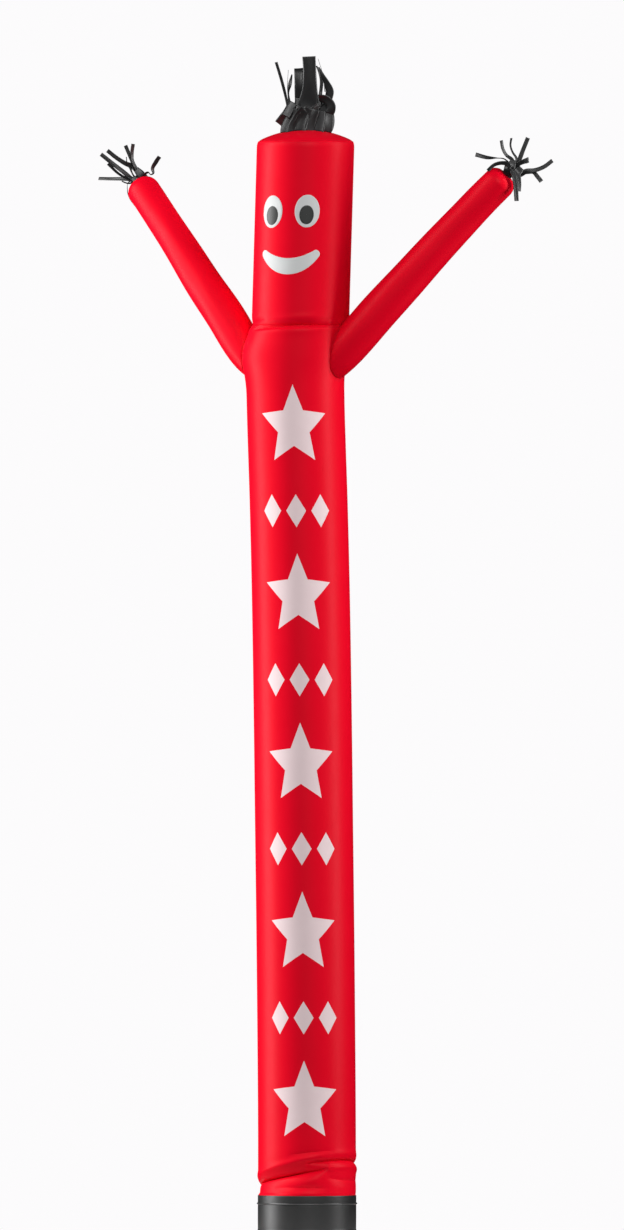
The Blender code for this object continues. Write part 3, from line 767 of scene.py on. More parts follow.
def make_body():
    heights = ring_heights(BODY_BANDS)
    angle, height = np.meshgrid(TUBE_ANGLES, heights)
    points = skin_points("body", angle, height)
    following = np.roll(points, -1, 1)
    middle = (points[:-1] + points[1:] + following[:-1] + following[1:]) / 4
    keep = np.all([arm.distance(middle)[0] > -ARMHOLE_OVERLAP for arm in ARMS.values()], axis=0)
    points = np.concatenate([points, turned_in(points[-1])])
    uv = metre_uv(np.append(heights, heights[-1] + SEAM_TURN_IN))
    keep = np.concatenate([keep, np.ones((1, TUBE_SIDES), bool)])
    body = sewn(
        "body_cloth", points, uv, "printed_red_cloth", SHEET, "red_nylon", "body_tube", keep=keep
    )


def make_head():
    heights = ring_heights(HEAD_BANDS)
    angle, height = np.meshgrid(TUBE_ANGLES, heights)
    points = skin_points("head", angle, height)
    points = np.concatenate([turned_in(points[0]), points])
    uv = metre_uv(np.append(heights[0] - SEAM_TURN_IN, heights))
    head = sewn("head_cloth", points, uv, "red_cloth", SHEET, "red_nylon", "head_tube")


CROWN_EDGE_RISE = 0.02
CROWN_EDGE_SHARES = 1 - np.linspace(0, 0.12, 14)
CROWN_MIDDLE_SHARES = np.linspace(0.85, 0.004, 26)
PUCKER_FADE = 0.004


def crown_height(share):
    bend = (RIM_RADIUS**2 + CROWN_RISE**2) / (2 * CROWN_RISE)
    return np.sqrt(bend**2 - (share * RIM_RADIUS) ** 2) - (bend - CROWN_RISE)


def crown_point(share, angle):
    """The domed crown, puckered where it is sewn to the rim."""
    inset = (1 - share) * RIM_RADIUS
    lift = seam_nip(inset, angle / 360, RIM_SEAM) * smooth(inset / PUCKER_FADE)
    rise = GAP + CLOTH_WALL * smooth(inset / CROWN_EDGE_RISE) + crown_height(share) + lift
    centre = centre_at(np.full(np.shape(share), RIM_HEIGHT))
    points = centre + outwards(angle) * (share * RIM_RADIUS)[..., None]
    points[..., 2] += rise
    return points


def make_crown():
    shares = np.concatenate([CROWN_EDGE_SHARES, CROWN_MIDDLE_SHARES])
    angle, share = np.meshgrid(TUBE_ANGLES, shares)
    points = crown_point(share, angle)
    turn, far = np.meshgrid(np.radians(np.append(TUBE_ANGLES, 180.0)), shares * RIM_RADIUS)
    uv = np.stack([np.sin(turn), np.cos(turn)], axis=-1) * far[..., None]
    crown = sewn("crown_cloth", points, uv, "red_cloth", SHEET, "red_nylon", "head_crown")


# ---------------------------------------------------------------- sleeves
SLEEVE_CROWDING = 0.35
SLEEVE_UV_RADIUS = 0.085
SLEEVE_CLIMB = 0.7
END_ROWS = 16
END_GATHERS = 15
END_GATHER_SIZE = 0.0013
END_GATHER_DRIFT = 1.5
END_GATHER_DRAW = 0.4
SLEEVE_WIDTHS = 20


def sleeve_points(arm):
    """The sleeve from its seam on the body to the gathered opening at its end."""
    share = np.linspace(0, 1, ARM_ROWS)[:, None]
    share = SLEEVE_CROWDING * share**2 + (1 - SLEEVE_CROWDING) * share
    at = arm.roots[None, :] + (arm.last - arm.roots[None, :]) * share
    turn = np.broadcast_to(arm.angles[None, :], at.shape)
    length = np.linalg.norm(arm.centre(at) - arm.centre(arm.roots)[None], axis=-1)
    grow = seam_nip(length, turn / (2 * np.pi), SLEEVE_SEAM) + waved(SLEEVE_WAVES, turn, at)
    sleeve = arm.point(at, turn, grow)

    last = np.array(float(arm.last))
    run, side, up = arm.axes(last)
    radius = arm.column("radius", arm.last)
    bend = np.linspace(0, np.pi / 2, END_ROWS + 1)[1:, None]
    drift = END_GATHER_DRIFT * np.sin(2 * arm.angles)
    gather = np.sin(END_GATHERS * arm.angles + drift)[None, :]
    gather = END_GATHER_SIZE * gather * np.sin(bend) ** 3
    drawn = ARM_OPENING + (radius - ARM_OPENING) * np.cos(bend) + END_GATHER_DRAW * gather
    out = ARM_END_ROUND * np.sin(bend) + gather * np.cos(bend)
    ring = around(side, up, arm.angles)
    end = arm.centre(last) + run * out[..., None] + ring[None] * drawn[..., None]
    return np.concatenate([sleeve, end])


def make_sleeve(hand):
    arm = ARMS[hand]
    points = sleeve_points(arm)
    joined = np.concatenate([points, points[:, :1]], axis=1)
    steps = np.linalg.norm(np.diff(joined, axis=0), axis=-1)
    up = np.concatenate([np.zeros((1, ARM_SIDES + 1)), np.cumsum(steps, axis=0)])
    start = arm.centre(arm.roots)[:, 2]
    up = up + np.append(start, start[0])[None, :] / SLEEVE_CLIMB
    along = np.append(arm.angles, 2 * np.pi)[None, :] * SLEEVE_UV_RADIUS * np.ones_like(up)
    uv = np.stack([along, up], axis=-1)
    sleeve = sewn(
        f"{hand}_sleeve", points, uv, "red_cloth", SHEET, "red_nylon", f"{hand}_arm", flip=True
    )
    radii = arm.column("radius", np.linspace(1, arm.last, SLEEVE_WIDTHS))


# ---------------------------------------------------------------- collar
HEM_TALL = 0.022
HEM_PROUD = 0.0009
COLLAR_WAVE = 0.0007
WELT_RADIUS = 0.0038
WELT_GROOVE = 0.0005
WELT_SIDES = 12
WELT_STANDS_OUT = 0.1
WELT_BACK = -0.25
WELT_MIDDLE = COLLAR_HEIGHT - WELT_BELOW_EDGE
WELT_GROOVE_BELOW = 1.6 * WELT_RADIUS
UPPER_HEM = COLLAR_HEIGHT - HEM_TALL

# How far the collar stands out, band by band up its height; both of its edges turn in
CollarBand = namedtuple("CollarBand", "proud start end count")
COLLAR_BANDS = [
    CollarBand(-0.0012, 0.0, 0.0, 1),
    CollarBand(0.0, 0.0012, 0.0012, 1),
    CollarBand(HEM_PROUD, 0.004, HEM_TALL - 0.002, 6),
    CollarBand(0.0, HEM_TALL + 0.001, UPPER_HEM - 0.004, 60),
    CollarBand(0.4 * HEM_PROUD, UPPER_HEM, COLLAR_HEIGHT - 0.002, 8),
    CollarBand(-0.0010, COLLAR_HEIGHT, COLLAR_HEIGHT, 1),
]


def collar_profile():
    """The collar's outer face from hem to top edge: its heights, and how far it stands out."""
    rows = [
        (height, band.proud)
        for band in COLLAR_BANDS
        for height in np.linspace(band.start, band.end, band.count)
    ]
    return np.array(rows).T


def collar_points(angle, height, proud):
    wave = COLLAR_WAVE * np.sin(4 * np.radians(angle) + 1.0)
    wave = wave * np.sin(np.pi * height / COLLAR_HEIGHT)
    groove = WELT_GROOVE * bell(height - WELT_MIDDLE + WELT_GROOVE_BELOW, WELT_RADIUS)
    radius = COLLAR_RADIUS - HEM_PROUD + proud + wave - groove
    return centre_at(height) + outwards(angle) * radius[..., None]


def make_collar():
    heights, prouds = collar_profile()
    angle, height = np.meshgrid(TUBE_ANGLES, heights)
    points = collar_points(angle, height, prouds[:, None])
    uv = metre_uv(heights)
    collar = sewn(
        "collar_band", points, uv, "collar_cloth", COLLAR_SHEET, "collar_cloth", "collar"
    )


def make_welt():
    """The corded welt: a round cord wrapped in the collar's cloth, lying on the collar. Its cloth
    is a glossier copy of the collar's, and its lighter tones are a painted highlight along the
    cord.
    """
    turns = even_turns(WELT_SIDES)
    rows = []
    for turn in turns:
        out = max(WELT_STANDS_OUT + math.cos(turn), WELT_BACK)
        radius = COLLAR_RADIUS + GAP + WELT_RADIUS * out
        height = np.full(TUBE_SIDES, WELT_MIDDLE + WELT_RADIUS * math.sin(turn))
        rows.append(centre_at(height) + outwards(TUBE_ANGLES) * radius)
    along = np.radians(np.append(TUBE_ANGLES, 180.0)) * COLLAR_RADIUS
    uv = uv_grid(along, np.append(turns, 2 * np.pi) * WELT_RADIUS)
    points = np.array(rows + rows[:1])
    sewn("collar_piping", points, uv, "welt_cloth", 0, "collar_cloth", "collar_welt")


# ---------------------------------------------------------------- face
ON_CLOTH = 0.0001
PATCH_BASE = 0.0002
PATCH_LIFT = 0.0007
EYE_SIDES = 72
EYE_EDGE_SHARES = [1.0, 0.995, 0.985, 0.965]
EYE_SHARES = np.linspace(0.93, 0.01, 16)
EDGE_TURN = 0.0035
SMILE_EDGE = np.array([0.2, 0.45, 0.7, 0.88, 0.95, 0.985, 1])
SMILE_STEPS = 61
SMILE_END_STEPS = 5
SMILE_TIP_TURNS = np.radians(np.linspace(8, 88, 11))


def on_head(angle, height, along, up, tilt, lift):
    """Points on the head's cloth: along and up are distances on the cloth from a centre."""
    turn = math.radians(tilt)
    shift = along * math.cos(turn) + up * math.sin(turn)
    rise = up * math.cos(turn) - along * math.sin(turn)
    here = angle + np.degrees(shift / TUBE_RADIUS)
    radius = head_radius(here, height + rise) + lift
    return centre_at(height + rise) + outwards(here) * radius[..., None]


def make_eye(eye, base, finish, slot):
    turn, share = np.meshgrid(even_turns(EYE_SIDES), np.append(EYE_EDGE_SHARES, EYE_SHARES))
    along = share * eye.width / 2 * np.cos(turn)
    up = share * eye.tall / 2 * np.sin(turn)
    inset = (1 - share) * eye.tall / 2
    lift = base + PATCH_LIFT * smooth(inset / EDGE_TURN) + ON_CLOTH
    points = on_head(eye.angle, eye.height, along, up, eye.tilt, lift)
    uv = np.stack([along, up], axis=-1)
    uv = np.concatenate([uv, uv[:, :1]], axis=1)
    patch = sewn(eye.name + "_patch", points, uv, finish, 0, slot, eye.name)


def smile_stations():
    """The smile's middle line, half thickness and lean, with rounded tips."""
    along = np.linspace(-SMILE_HALF_WIDTH, SMILE_HALF_WIDTH, SMILE_STEPS)
    share = along / SMILE_HALF_WIDTH
    bow = SMILE_TIP_RISE - SMILE_HALF_THICK
    middle = SMILE_HALF_THICK + bow * share * share
    half = SMILE_TIP_RADIUS + (SMILE_HALF_THICK - SMILE_TIP_RADIUS) * (1 - share * share)
    slope = math.atan2(2 * bow, SMILE_HALF_WIDTH)
    out = SMILE_TIP_RADIUS * np.sin(SMILE_TIP_TURNS)
    across = SMILE_HALF_WIDTH + out * math.cos(slope)
    rise = SMILE_TIP_RISE + out * math.sin(slope)
    tip = np.array([across, rise, SMILE_TIP_RADIUS * np.cos(SMILE_TIP_TURNS)])
    other_tip = tip[:, ::-1] * np.array([[-1], [1], [1]])
    rows = np.concatenate([other_tip, [along, middle, half], tip], axis=1)
    return *rows, np.arctan2(np.gradient(rows[1]), np.gradient(rows[0]))


def smile_place(across):
    """Places on the cloth across the smile's width, each from -1 to 1."""
    along, middle, half, lean = (column[:, None] for column in smile_stations())
    return along - across * half * np.sin(lean), middle + across * half * np.cos(lean), half


def make_smile():
    across = np.concatenate([-SMILE_EDGE[::-1], [0], SMILE_EDGE])[None, :]
    along, up, half = smile_place(across)
    inset = (1 - np.abs(across)) * half
    end = np.minimum(np.arange(len(half)), np.arange(len(half))[::-1])[:, None]
    lift = PATCH_LIFT * smooth(inset / EDGE_TURN) * smooth(end / SMILE_END_STEPS) + ON_CLOTH
    points = on_head(SMILE_ANGLE, SMILE_BOTTOM, along, up, 0.0, lift)
    uv = np.stack([along, up], axis=-1)
    shape = {"closed": False, "flip": True}
    smile = sewn("smile_patch", points, uv, "white_cloth", 0, "white_patch", "smile", **shape)


# ---------------------------------------------------------------- stitches
Stitching = namedtuple("Stitching", "pitch length thickness unevenness")
FINE = Stitching(0.0055, 0.0040, 0.0008, 0.10)
COARSE = Stitching(0.0070, 0.0052, 0.0010, 0.10)
TOPSTITCH = 0.0065
SECOND_ROW = 0.0125
BACK_ROWS = 0.004
PATCH_INSET = 0.0045
ON_PATCH = 0.0002
SMILE_ROW_ENDS = 0.008
ROW_ANGLES = -180 + np.arange(360)
BACK_STEP = 0.01
BACK_SEAM = [
    (COLLAR_HEIGHT + 0.004, NECK_HEIGHT - SECOND_ROW),
    (NECK_HEIGHT + 0.004, RIM_HEIGHT - 0.010),
]
COLLAR_ROWS = [
    HEM_TALL - 0.004,
    WELT_MIDDLE - 0.009,
    WELT_MIDDLE + 0.009,
    COLLAR_HEIGHT - HEM_TALL + 0.004,
    COLLAR_HEIGHT - 0.006,
]


def stitch_tree():
    """Stitches at an even pitch on rows of edges, each lying along its row and on the cloth."""
    tree = bpy.data.node_groups.new("stitches_on_rows", "GeometryNodeTree")
    inputs = {"Rows": "Geometry", "Pitch": "Float", "Length": "Float", "Thickness": "Float"}
    inputs.update({"Unevenness": "Float", "Seed": "Int", "Thread": "Material"})
    for name, kind in inputs.items():
        tree.interface.new_socket(name, in_out="INPUT", socket_type="NodeSocket" + kind)
    tree.interface.new_socket("Stitches", in_out="OUTPUT", socket_type="NodeSocketGeometry")
    nodes = Nodes(tree)
    given = nodes.add("NodeGroupInput").outputs
    curve = nodes.out("GeometryNodeMeshToCurve", given["Rows"])
    spaced = nodes.out("GeometryNodeResampleCurve", curve, mode="LENGTH", Length=given["Pitch"])

    ball = nodes.out("GeometryNodeMeshUVSphere", Segments=6, Rings=5, Radius=0.5)
    size = (given[name] for name in ("Thickness", "Thickness", "Length"))
    scale = nodes.out("ShaderNodeCombineXYZ", *size)
    flat = (0.0, math.pi / 2, 0.0)
    laid = nodes.out("GeometryNodeTransform", ball, Rotation=flat, Scale=scale)
    rounded = nodes.out("GeometryNodeSetShadeSmooth", laid)

    named = {"data_type": "FLOAT_VECTOR", "Name": "outward"}
    outward = nodes.out("GeometryNodeInputNamedAttribute", **named)
    tangent = nodes.out("GeometryNodeInputTangent")
    axes = {"primary_axis": "X", "secondary_axis": "Z"}
    turned = nodes.out("FunctionNodeAxesToRotation", tangent, outward, **axes)
    vary = nodes.add("FunctionNodeRandomValue", data_type="FLOAT", Seed=given["Seed"])
    for socket, operation in zip(vary.inputs[2:4], ("SUBTRACT", "ADD")):
        nodes.give(socket, nodes.math(operation, 1.0, given["Unevenness"]))

    placing = {"Instance": rounded, "Rotation": turned, "Scale": vary.outputs[1]}
    placed = nodes.out("GeometryNodeInstanceOnPoints", spaced, **placing)
    real = nodes.out("GeometryNodeRealizeInstances", placed)
    threaded = nodes.out("GeometryNodeSetMaterial", real, Material=given["Thread"])
    nodes.add("NodeGroupOutput", threaded)
    return tree


STITCH_TREE = stitch_tree()
Row = namedtuple("Row", "points outward closed")


def stitched(name, rows, size, thread, slot, seed):
    """Rows of stitches as one plain mesh."""
    points, outward, edges = [], [], []
    for row in rows:
        count = len(row.points)
        ends = count if row.closed else count - 1
        edges += [(len(points) + i, len(points) + (i + 1) % count) for i in range(ends)]
        points += row.points.tolist()
        outward.append(row.outward)
    outward = np.concatenate(outward).astype(np.float32).ravel()
    mesh = bpy.data.meshes.new(name)
    mesh.from_pydata(points, edges, [])
    mesh.attributes.new("outward", "FLOAT_VECTOR", "POINT")
    mesh.attributes["outward"].data.foreach_set("vector", outward)
    piece = in_scene(name, mesh)
    step = piece.modifiers.new("stitches", "NODES")
    step.node_group = STITCH_TREE
    values = {key.capitalize(): value for key, value in size._asdict().items()}
    values.update({"Seed": seed, "Thread": MATERIALS[thread]})
    for socket in STITCH_TREE.interface.items_tree:
        if socket.name in values:
            step[socket.identifier] = values[socket.name]
    plain(piece)
    finished(piece, slot)


def lifted(points, outward, closed=True):
    """A row that lies on cloth."""
    return Row(points + ON_CLOTH * outward, outward, closed)


def tube_row(angle, height, closed=True):
    """A row on the body's or the head's cloth, through angles and heights."""
    angle, height = np.broadcast_arrays(angle, height)
    parts = (skin_points(kind, angle, height) for kind in ("body", "head"))
    points = np.where((height < NECK_HEIGHT)[:, None], *parts)
    return lifted(points, outwards(angle), closed)


def make_tube_stitches():
    heights = (NECK_HEIGHT - TOPSTITCH, NECK_HEIGHT - SECOND_ROW)
    rows = [tube_row(ROW_ANGLES, height) for height in heights]
    stitched("neck_stitches", rows, FINE, "red_thread", "red_nylon", seed=3)

    crown = crown_point(np.full(360, 1 - TOPSTITCH / RIM_RADIUS), ROW_ANGLES)
    up = np.broadcast_to((0.0, 0.0, 1.0), crown.shape)
    rows = [tube_row(ROW_ANGLES, RIM_HEIGHT - TOPSTITCH), lifted(crown, up)]
    stitched("crown_stitches", rows, FINE, "red_thread", "red_nylon", seed=4)

    rows = []
    for start, end in BACK_SEAM:
        height = np.linspace(start, end, int((end - start) / BACK_STEP))
        for side in (-BACK_ROWS, BACK_ROWS):
            rows.append(tube_row(180 + math.degrees(side / TUBE_RADIUS), height, closed=False))
    stitched("back_seam_stitches", rows, COARSE, "red_thread", "red_nylon", seed=5)


def round_armhole(arm, away):
    """A row on the body round an armhole, a little way out from its seam."""
    ring = arm.point(arm.roots, arm.angles, away)
    return tube_row(round_tube(ring)[0], ring[:, 2])


def make_sleeve_stitches(hand):
    arm = ARMS[hand]
    points = sleeve_points(arm)
    far = np.linalg.norm(np.diff(points, axis=0), axis=-1)
    far = np.concatenate([np.zeros((1, ARM_SIDES)), np.cumsum(far, axis=0)])
    radial = unit(points - points.mean(axis=1)[:, None])

    column = np.arange(ARM_SIDES)
    after = (far < TOPSTITCH).sum(axis=0)
    gone, ahead = far[after - 1, column], far[after, column]
    share = ((TOPSTITCH - gone) / (ahead - gone))[:, None]
    ring = points[after - 1, column] * (1 - share) + points[after, column] * share
    rows = [round_armhole(arm, away) for away in (TOPSTITCH, SECOND_ROW)]
    rows.append(lifted(ring, radial[after, column]))
    under = 3 * ARM_SIDES // 4
    for side in (under, under + 1):
        rows.append(lifted(points[2:-4, side], radial[2:-4, side], closed=False))
    stitched(f"{hand}_sleeve_stitches", rows, FINE, "red_thread", "red_nylon", seed=6)


def make_collar_stitches():
    rows = []
    for height in COLLAR_ROWS:
        proud = np.interp(height, *collar_profile())
        points = collar_points(ROW_ANGLES, np.full(360, height), proud)
        rows.append(lifted(points, outwards(ROW_ANGLES)))
    stitched("collar_stitches", rows, COARSE, "black_thread", "collar_cloth", seed=8)


def patch_row(angle, height, along, up, tilt, lift):
    """A closed row on the head's patches."""
    points = on_head(angle, height, along, up, tilt, lift)
    return Row(points, outwards(angle + np.degrees(along / TUBE_RADIUS)), True)


def make_face_stitches():
    turns = np.radians(np.arange(0, 360, 3))
    for name, patches, base, thread, slot in (
        ("eye_stitches", EYE_WHITES, PATCH_BASE, "white_thread", "white_patch"),
        ("pupil_stitches", PUPILS, PATCH_BASE + PATCH_LIFT, "black_thread", "grey_patch"),
    ):
        rows = []
        for eye in patches:
            along = (eye.width / 2 - PATCH_INSET) * np.cos(turns)
            up = (eye.tall / 2 - PATCH_INSET) * np.sin(turns)
            lift = base + PATCH_LIFT + ON_PATCH
            rows.append(patch_row(eye.angle, eye.height, along, up, eye.tilt, lift))
        stitched(name, rows, FINE, thread, slot, seed=9)

    _, _, half, _ = smile_stations()
    wide = half > SMILE_ROW_ENDS
    inner = (1 - PATCH_INSET / half[wide])[:, None]
    lines = []
    for side in (1, -1):
        line = np.zeros((len(half), 1))
        line[wide] = side * inner
        along, up, _ = smile_place(line)
        lines.append(np.concatenate([along[wide], up[wide]], axis=1)[::side])
    along, up = np.concatenate(lines).T
    row = patch_row(SMILE_ANGLE, SMILE_BOTTOM, along, up, 0.0, PATCH_LIFT + ON_PATCH)
    stitched("smile_stitches", [row], FINE, "white_thread", "white_patch", seed=10)


# ---------------------------------------------------------------- ribbons
# A ribbon passes through places measured from its tuft's root: across to +X, toward the front, up.
# Turn spins its flat side away from the front, and wide is its width there.
Place = namedtuple("Place", "across toward up turn wide")


def ribbons(**strips):
    """Each ribbon's places, from rows that give lengths in millimetres and the turn in degrees."""
    return [
        [Place(*mm(*row[:3]), row[3], *mm(row[4])) for row in rows] for rows in strips.values()
    ]


HAIR = ribbons(
    tall_front=[(14, 44, 45, 0, 70), (14, 48, 111, 0, 98), (19, 52, 185, 0, 72),
        (19, 58, 255, 0, 62), (15, 66, 339, -3, 62)],
    folded_left=[(-26, 22, 78, 0, 44), (-29, 12, 176, 0, 46), (-30, 2, 260, 2, 46),
        (-31, 9, 285, 2, 46), (-31, 17, 276, 2, 46), (-31, 25, 241, 0, 44), (-31, 26, 213, 0, 40),
        (-28, 18, 148, -4, 36)],
    leaning_left=[(-77, -4, 73, 50, 20), (-87, -10, 126, 58, 26), (-108, -16, 213, 60, 26),
        (-138, -18, 314, 58, 26)],
    upright_left=[(-77, -30, 78, 76, 20), (-81, -34, 139, 84, 22), (-85, -36, 202, 86, 22),
        (-81, -34, 278, 86, 20)],
    twisted_left=[(-68, 10, 73, 40, 20), (-76, 12, 125, 58, 24), (-80, 14, 171, 74, 24),
        (-73, 16, 213, 40, 22), (-64, 14, 256, 74, 16)],
    leaf_right=[(76, -14, 83, 10, 34), (102, -10, 134, 0, 36), (112, -6, 178, 0, 38),
        (98, -2, 216, 0, 28), (78, 4, 255, 6, 16), (60, 8, 290, 40, 10)],
    inner_right=[(58, -4, 111, 20, 24), (70, -10, 176, 30, 18), (73, -14, 232, 20, 17),
        (63, -18, 269, 30, 14), (50, -22, 297, 40, 10)],
    edge_right=[(90, -30, 176, 80, 16), (84, -34, 232, 85, 20), (75, -36, 276, 84, 20),
        (58, -36, 330, 86, 18)],
    loop_right=[(25, 34, 134, 30, 30), (62, 44, 145, 20, 36), (102, 50, 134, 6, 40),
        (120, 50, 106, 0, 40), (112, 44, 76, -8, 40), (72, 36, 64, -14, 36)],
    bulge_right=[(72, 52, -43, 0, 30), (89, 54, -1, 4, 70), (97, 50, 41, 6, 76),
        (95, 42, 76, 4, 66), (72, 30, 106, 0, 44)],
    flap_left=[(-57, 50, 125, 0, 40), (-68, 53, 105, 0, 44), (-80, 58, 83, 0, 46),
        (-94, 62, 59, 0, 46)],
    lobe_left=[(-73, 46, 83, -6, 44), (-89, 38, 64, -6, 52), (-105, 26, 43, -6, 54),
        (-124, 10, 22, -6, 50)],
    bulge_left=[(-91, 36, -53, 0, 36), (-75, 46, -6, 4, 62), (-54, 48, 38, 8, 60),
        (-23, 36, 83, 8, 36)],
    pleat_a=[(-101, 64, -29, -22, 40), (-91, 56, 3, -22, 56), (-73, 54, 42, -20, 56),
        (-40, 60, 90, -10, 40)],
    pleat_b=[(-75, 76, -29, 16, 44), (-63, 66, 3, 18, 58), (-40, 62, 47, 14, 54),
        (-7, 68, 98, 6, 36)],
    pleat_c=[(-33, 78, -29, -16, 46), (-25, 70, 3, -18, 60), (-9, 64, 47, -14, 54),
        (14, 70, 101, -6, 36)],
    pleat_d=[(11, 78, -29, 16, 46), (15, 70, 3, 18, 60), (27, 64, 47, 14, 56),
        (48, 64, 92, 6, 36)],
    pleat_e=[(58, 72, -34, -14, 44), (60, 64, 3, -16, 58), (67, 58, 42, -14, 54),
        (75, 56, 87, -6, 36)],
    pocket_left=[(-59, -8, 55, 0, 44), (-58, -10, 92, 0, 42), (-59, -12, 125, 0, 34)],
    pocket_right=[(67, -6, 41, 0, 90), (83, -10, 83, 0, 88), (86, -12, 120, 0, 66),
        (75, -14, 150, 0, 36)],
    middle_back=[(-7, -20, 55, 0, 60), (-12, -24, 120, 0, 80), (-7, -24, 176, 0, 62),
        (2, -20, 222, 0, 50)],
    cross_middle=[(-45, 40, 101, 30, 34), (-19, 54, 87, 34, 36), (7, 58, 55, 30, 30)],
    cross_right=[(62, 48, 111, -30, 36), (35, 56, 87, -36, 40), (7, 58, 50, -30, 26)],
)
LEFT_HAND = ribbons(
    pale_level=[(16, 30, -16, 6, 16), (-16, 26, -2, 12, 21), (-63, 2, 3, 13, 18),
        (-119, -30, 4, 13, 17), (-177, -64, 6, 13, 16)],
    lower_slant=[(12, -4, -12, 0, 16), (-21, 0, 2, 0, 22), (-51, 4, 28, 8, 21),
        (-110, 10, 74, 0, 20), (-166, 14, 119, 0, 19)],
    dark_slant=[(7, 16, -12, 30, 16), (-30, 26, -2, 44, 20), (-77, 30, 23, 50, 20),
        (-133, 30, 74, 46, 19)],
    upper_slant=[(16, -10, -2, 10, 16), (0, -6, 40, 20, 20), (-19, -2, 63, 10, 24),
        (-46, 4, 73, 4, 22), (-86, 8, 97, 0, 20), (-136, 14, 136, 0, 19)],
    left_of_pair=[(26, -20, -2, 10, 16), (2, -18, 35, 20, 20), (-21, -14, 89, 14, 18),
        (-51, -8, 160, 0, 18)],
    right_of_pair=[(26, -4, -2, 30, 16), (4, 4, 42, 34, 20), (-19, 8, 96, 40, 18),
        (-20, 8, 128, 30, 18), (-15, 6, 167, 20, 18)],
    edge_on=[(-21, -20, 35, 80, 16), (-42, -24, 72, 82, 18), (-47, -24, 107, 86, 18)],
    squiggle=[(28, 10, 7, 40, 16), (42, 18, 27, 48, 16), (56, 22, 34, 52, 15),
        (68, 24, 23, 56, 15), (79, 26, 28, 54, 16), (76, 28, 50, 20, 18), (91, 34, 80, 0, 20),
        (109, 42, 107, 0, 19)],
    hanging_edge=[(-7, -10, -2, 50, 16), (-37, -14, -12, 74, 18), (-42, -22, -49, 80, 18),
        (-34, -32, -82, 80, 18), (-9, -46, -121, 76, 18)],
    short_under=[(-7, 16, -12, 60, 18), (-40, 22, -18, 66, 20), (-68, 24, -8, 70, 18)],
    short_loop=[(-2, 14, 2, 60, 16), (-21, 18, 33, 68, 18), (-30, 14, 61, 50, 20)],
    gather_front=[(30, 20, -21, 0, 20), (2, 28, -7, 0, 34), (-19, 26, 10, 10, 28)],
    gather_top=[(49, 4, 7, 10, 22), (21, 12, 26, 14, 38), (-2, 8, 49, 10, 28)],
)
RIGHT_HAND = ribbons(
    long_left=[(1, 20, -2, 60, 16), (-16, 26, 31, 70, 20), (-38, 26, 48, 78, 20),
        (-66, 24, 51, 80, 20), (-111, 20, 53, 34, 20), (-169, 14, 68, 6, 20)],
    curl_left=[(6, -10, -2, 20, 16), (2, -12, 43, 30, 20), (-25, -12, 65, 36, 19),
        (-42, -8, 96, 28, 18), (-49, -4, 134, 24, 17)],
    curl_middle=[(10, -26, -2, 40, 16), (21, -30, 52, 50, 20), (4, -28, 79, 56, 18),
        (-6, -22, 111, 58, 18), (-2, -16, 145, 50, 17)],
    upright_right=[(10, 4, -2, 0, 18), (35, 10, 45, 0, 21), (54, 12, 94, 0, 20),
        (75, 14, 146, 0, 20)],
    blunt_right=[(6, 18, -2, 10, 18), (36, 28, 26, 0, 20), (64, 34, 38, 0, 24),
        (79, 26, 43, 0, 26), (64, 16, 35, 0, 22)],
    long_right=[(1, 0, -16, 20, 16), (36, 2, -28, 30, 22), (64, 6, -11, 6, 24),
        (104, 10, -6, -8, 21), (150, 14, 11, -10, 20), (189, 16, 40, -10, 19)],
    down_right=[(34, -12, -21, 20, 18), (73, -10, -14, 10, 18), (102, -6, -15, -10, 18),
        (118, -4, -33, -34, 23), (138, -2, -58, -36, 23)],
    hanging_left=[(-8, 30, 7, 0, 16), (7, 40, -21, -20, 23), (17, 44, -81, -32, 24),
        (22, 46, -149, -34, 23)],
    hanging_right=[(6, 24, 7, 0, 16), (27, 32, -22, -24, 22), (34, 34, -62, -34, 22),
        (33, 34, -104, -36, 21)],
    draped_left=[(-4, 34, -2, 4, 16), (-20, 44, 23, 2, 21), (-46, 50, 28, 0, 19),
        (-80, 54, 20, -2, 18), (-113, 56, -8, -4, 17)],
    gather_top=[(-18, 20, -21, 0, 22), (-4, 34, 12, 0, 40), (8, 26, 43, 0, 26)],
    gather_right=[(-8, 10, -30, 0, 22), (24, 24, -16, 10, 40), (45, 18, 7, 10, 26)],
    gather_left=[(-27, 26, -30, 0, 24), (-20, 38, -2, 0, 36), (-22, 32, 28, 0, 20)],
)

RIBBON_STEP = 0.0045
RIBBON_FEWEST_STEPS = 8
RIBBON_UV_SHIFT = 0.3
RIBBON_ACROSS = np.linspace(-1, 1, 7)
RIBBON_CUP = 0.05
RIBBON_RIPPLE = 0.0005
RIBBON_CREASE = 0.00025
# Rolls along a ribbon: how long they are, how far its number shifts them, and their slant
Roll = namedtuple("Roll", "length shift slant")
CUP_ROLL = Roll(0.045, 1.7, 0.0)
RIPPLE_ROLL = Roll(0.028, 2.1, 1.4)
CREASE_ROLL = Roll(0.05, 0.9, 4.5)


def smooth_route(places, step):
    """A route through all the places at an even step, with its turn and width."""
    rows = np.array([(p.across, -p.toward, p.up, p.turn, p.wide) for p in places])
    stride = np.linalg.norm(np.diff(rows[:, :3], axis=0), axis=1)
    travel = np.concatenate([[0], np.cumsum(stride)])
    slopes = np.gradient(rows, travel, axis=0)
    count = max(int(round(travel[-1] / step)), RIBBON_FEWEST_STEPS)
    return curve_at(travel, rows, slopes, np.linspace(0, travel[-1], count + 1))


def carried_sides(route):
    """The direction of a ribbon at each point, and its sideways one, carried without twisting."""
    run = unit(np.gradient(route, axis=0))
    side = unit(np.cross(run[0], (0.0, -1.0, 0.0)))
    sides = [side]
    for before, after in zip(run[:-1], run[1:]):
        side = side - (before + after) * side.dot(after) / (1 + before.dot(after))
        sides.append(unit(side))
    return run, np.array(sides)


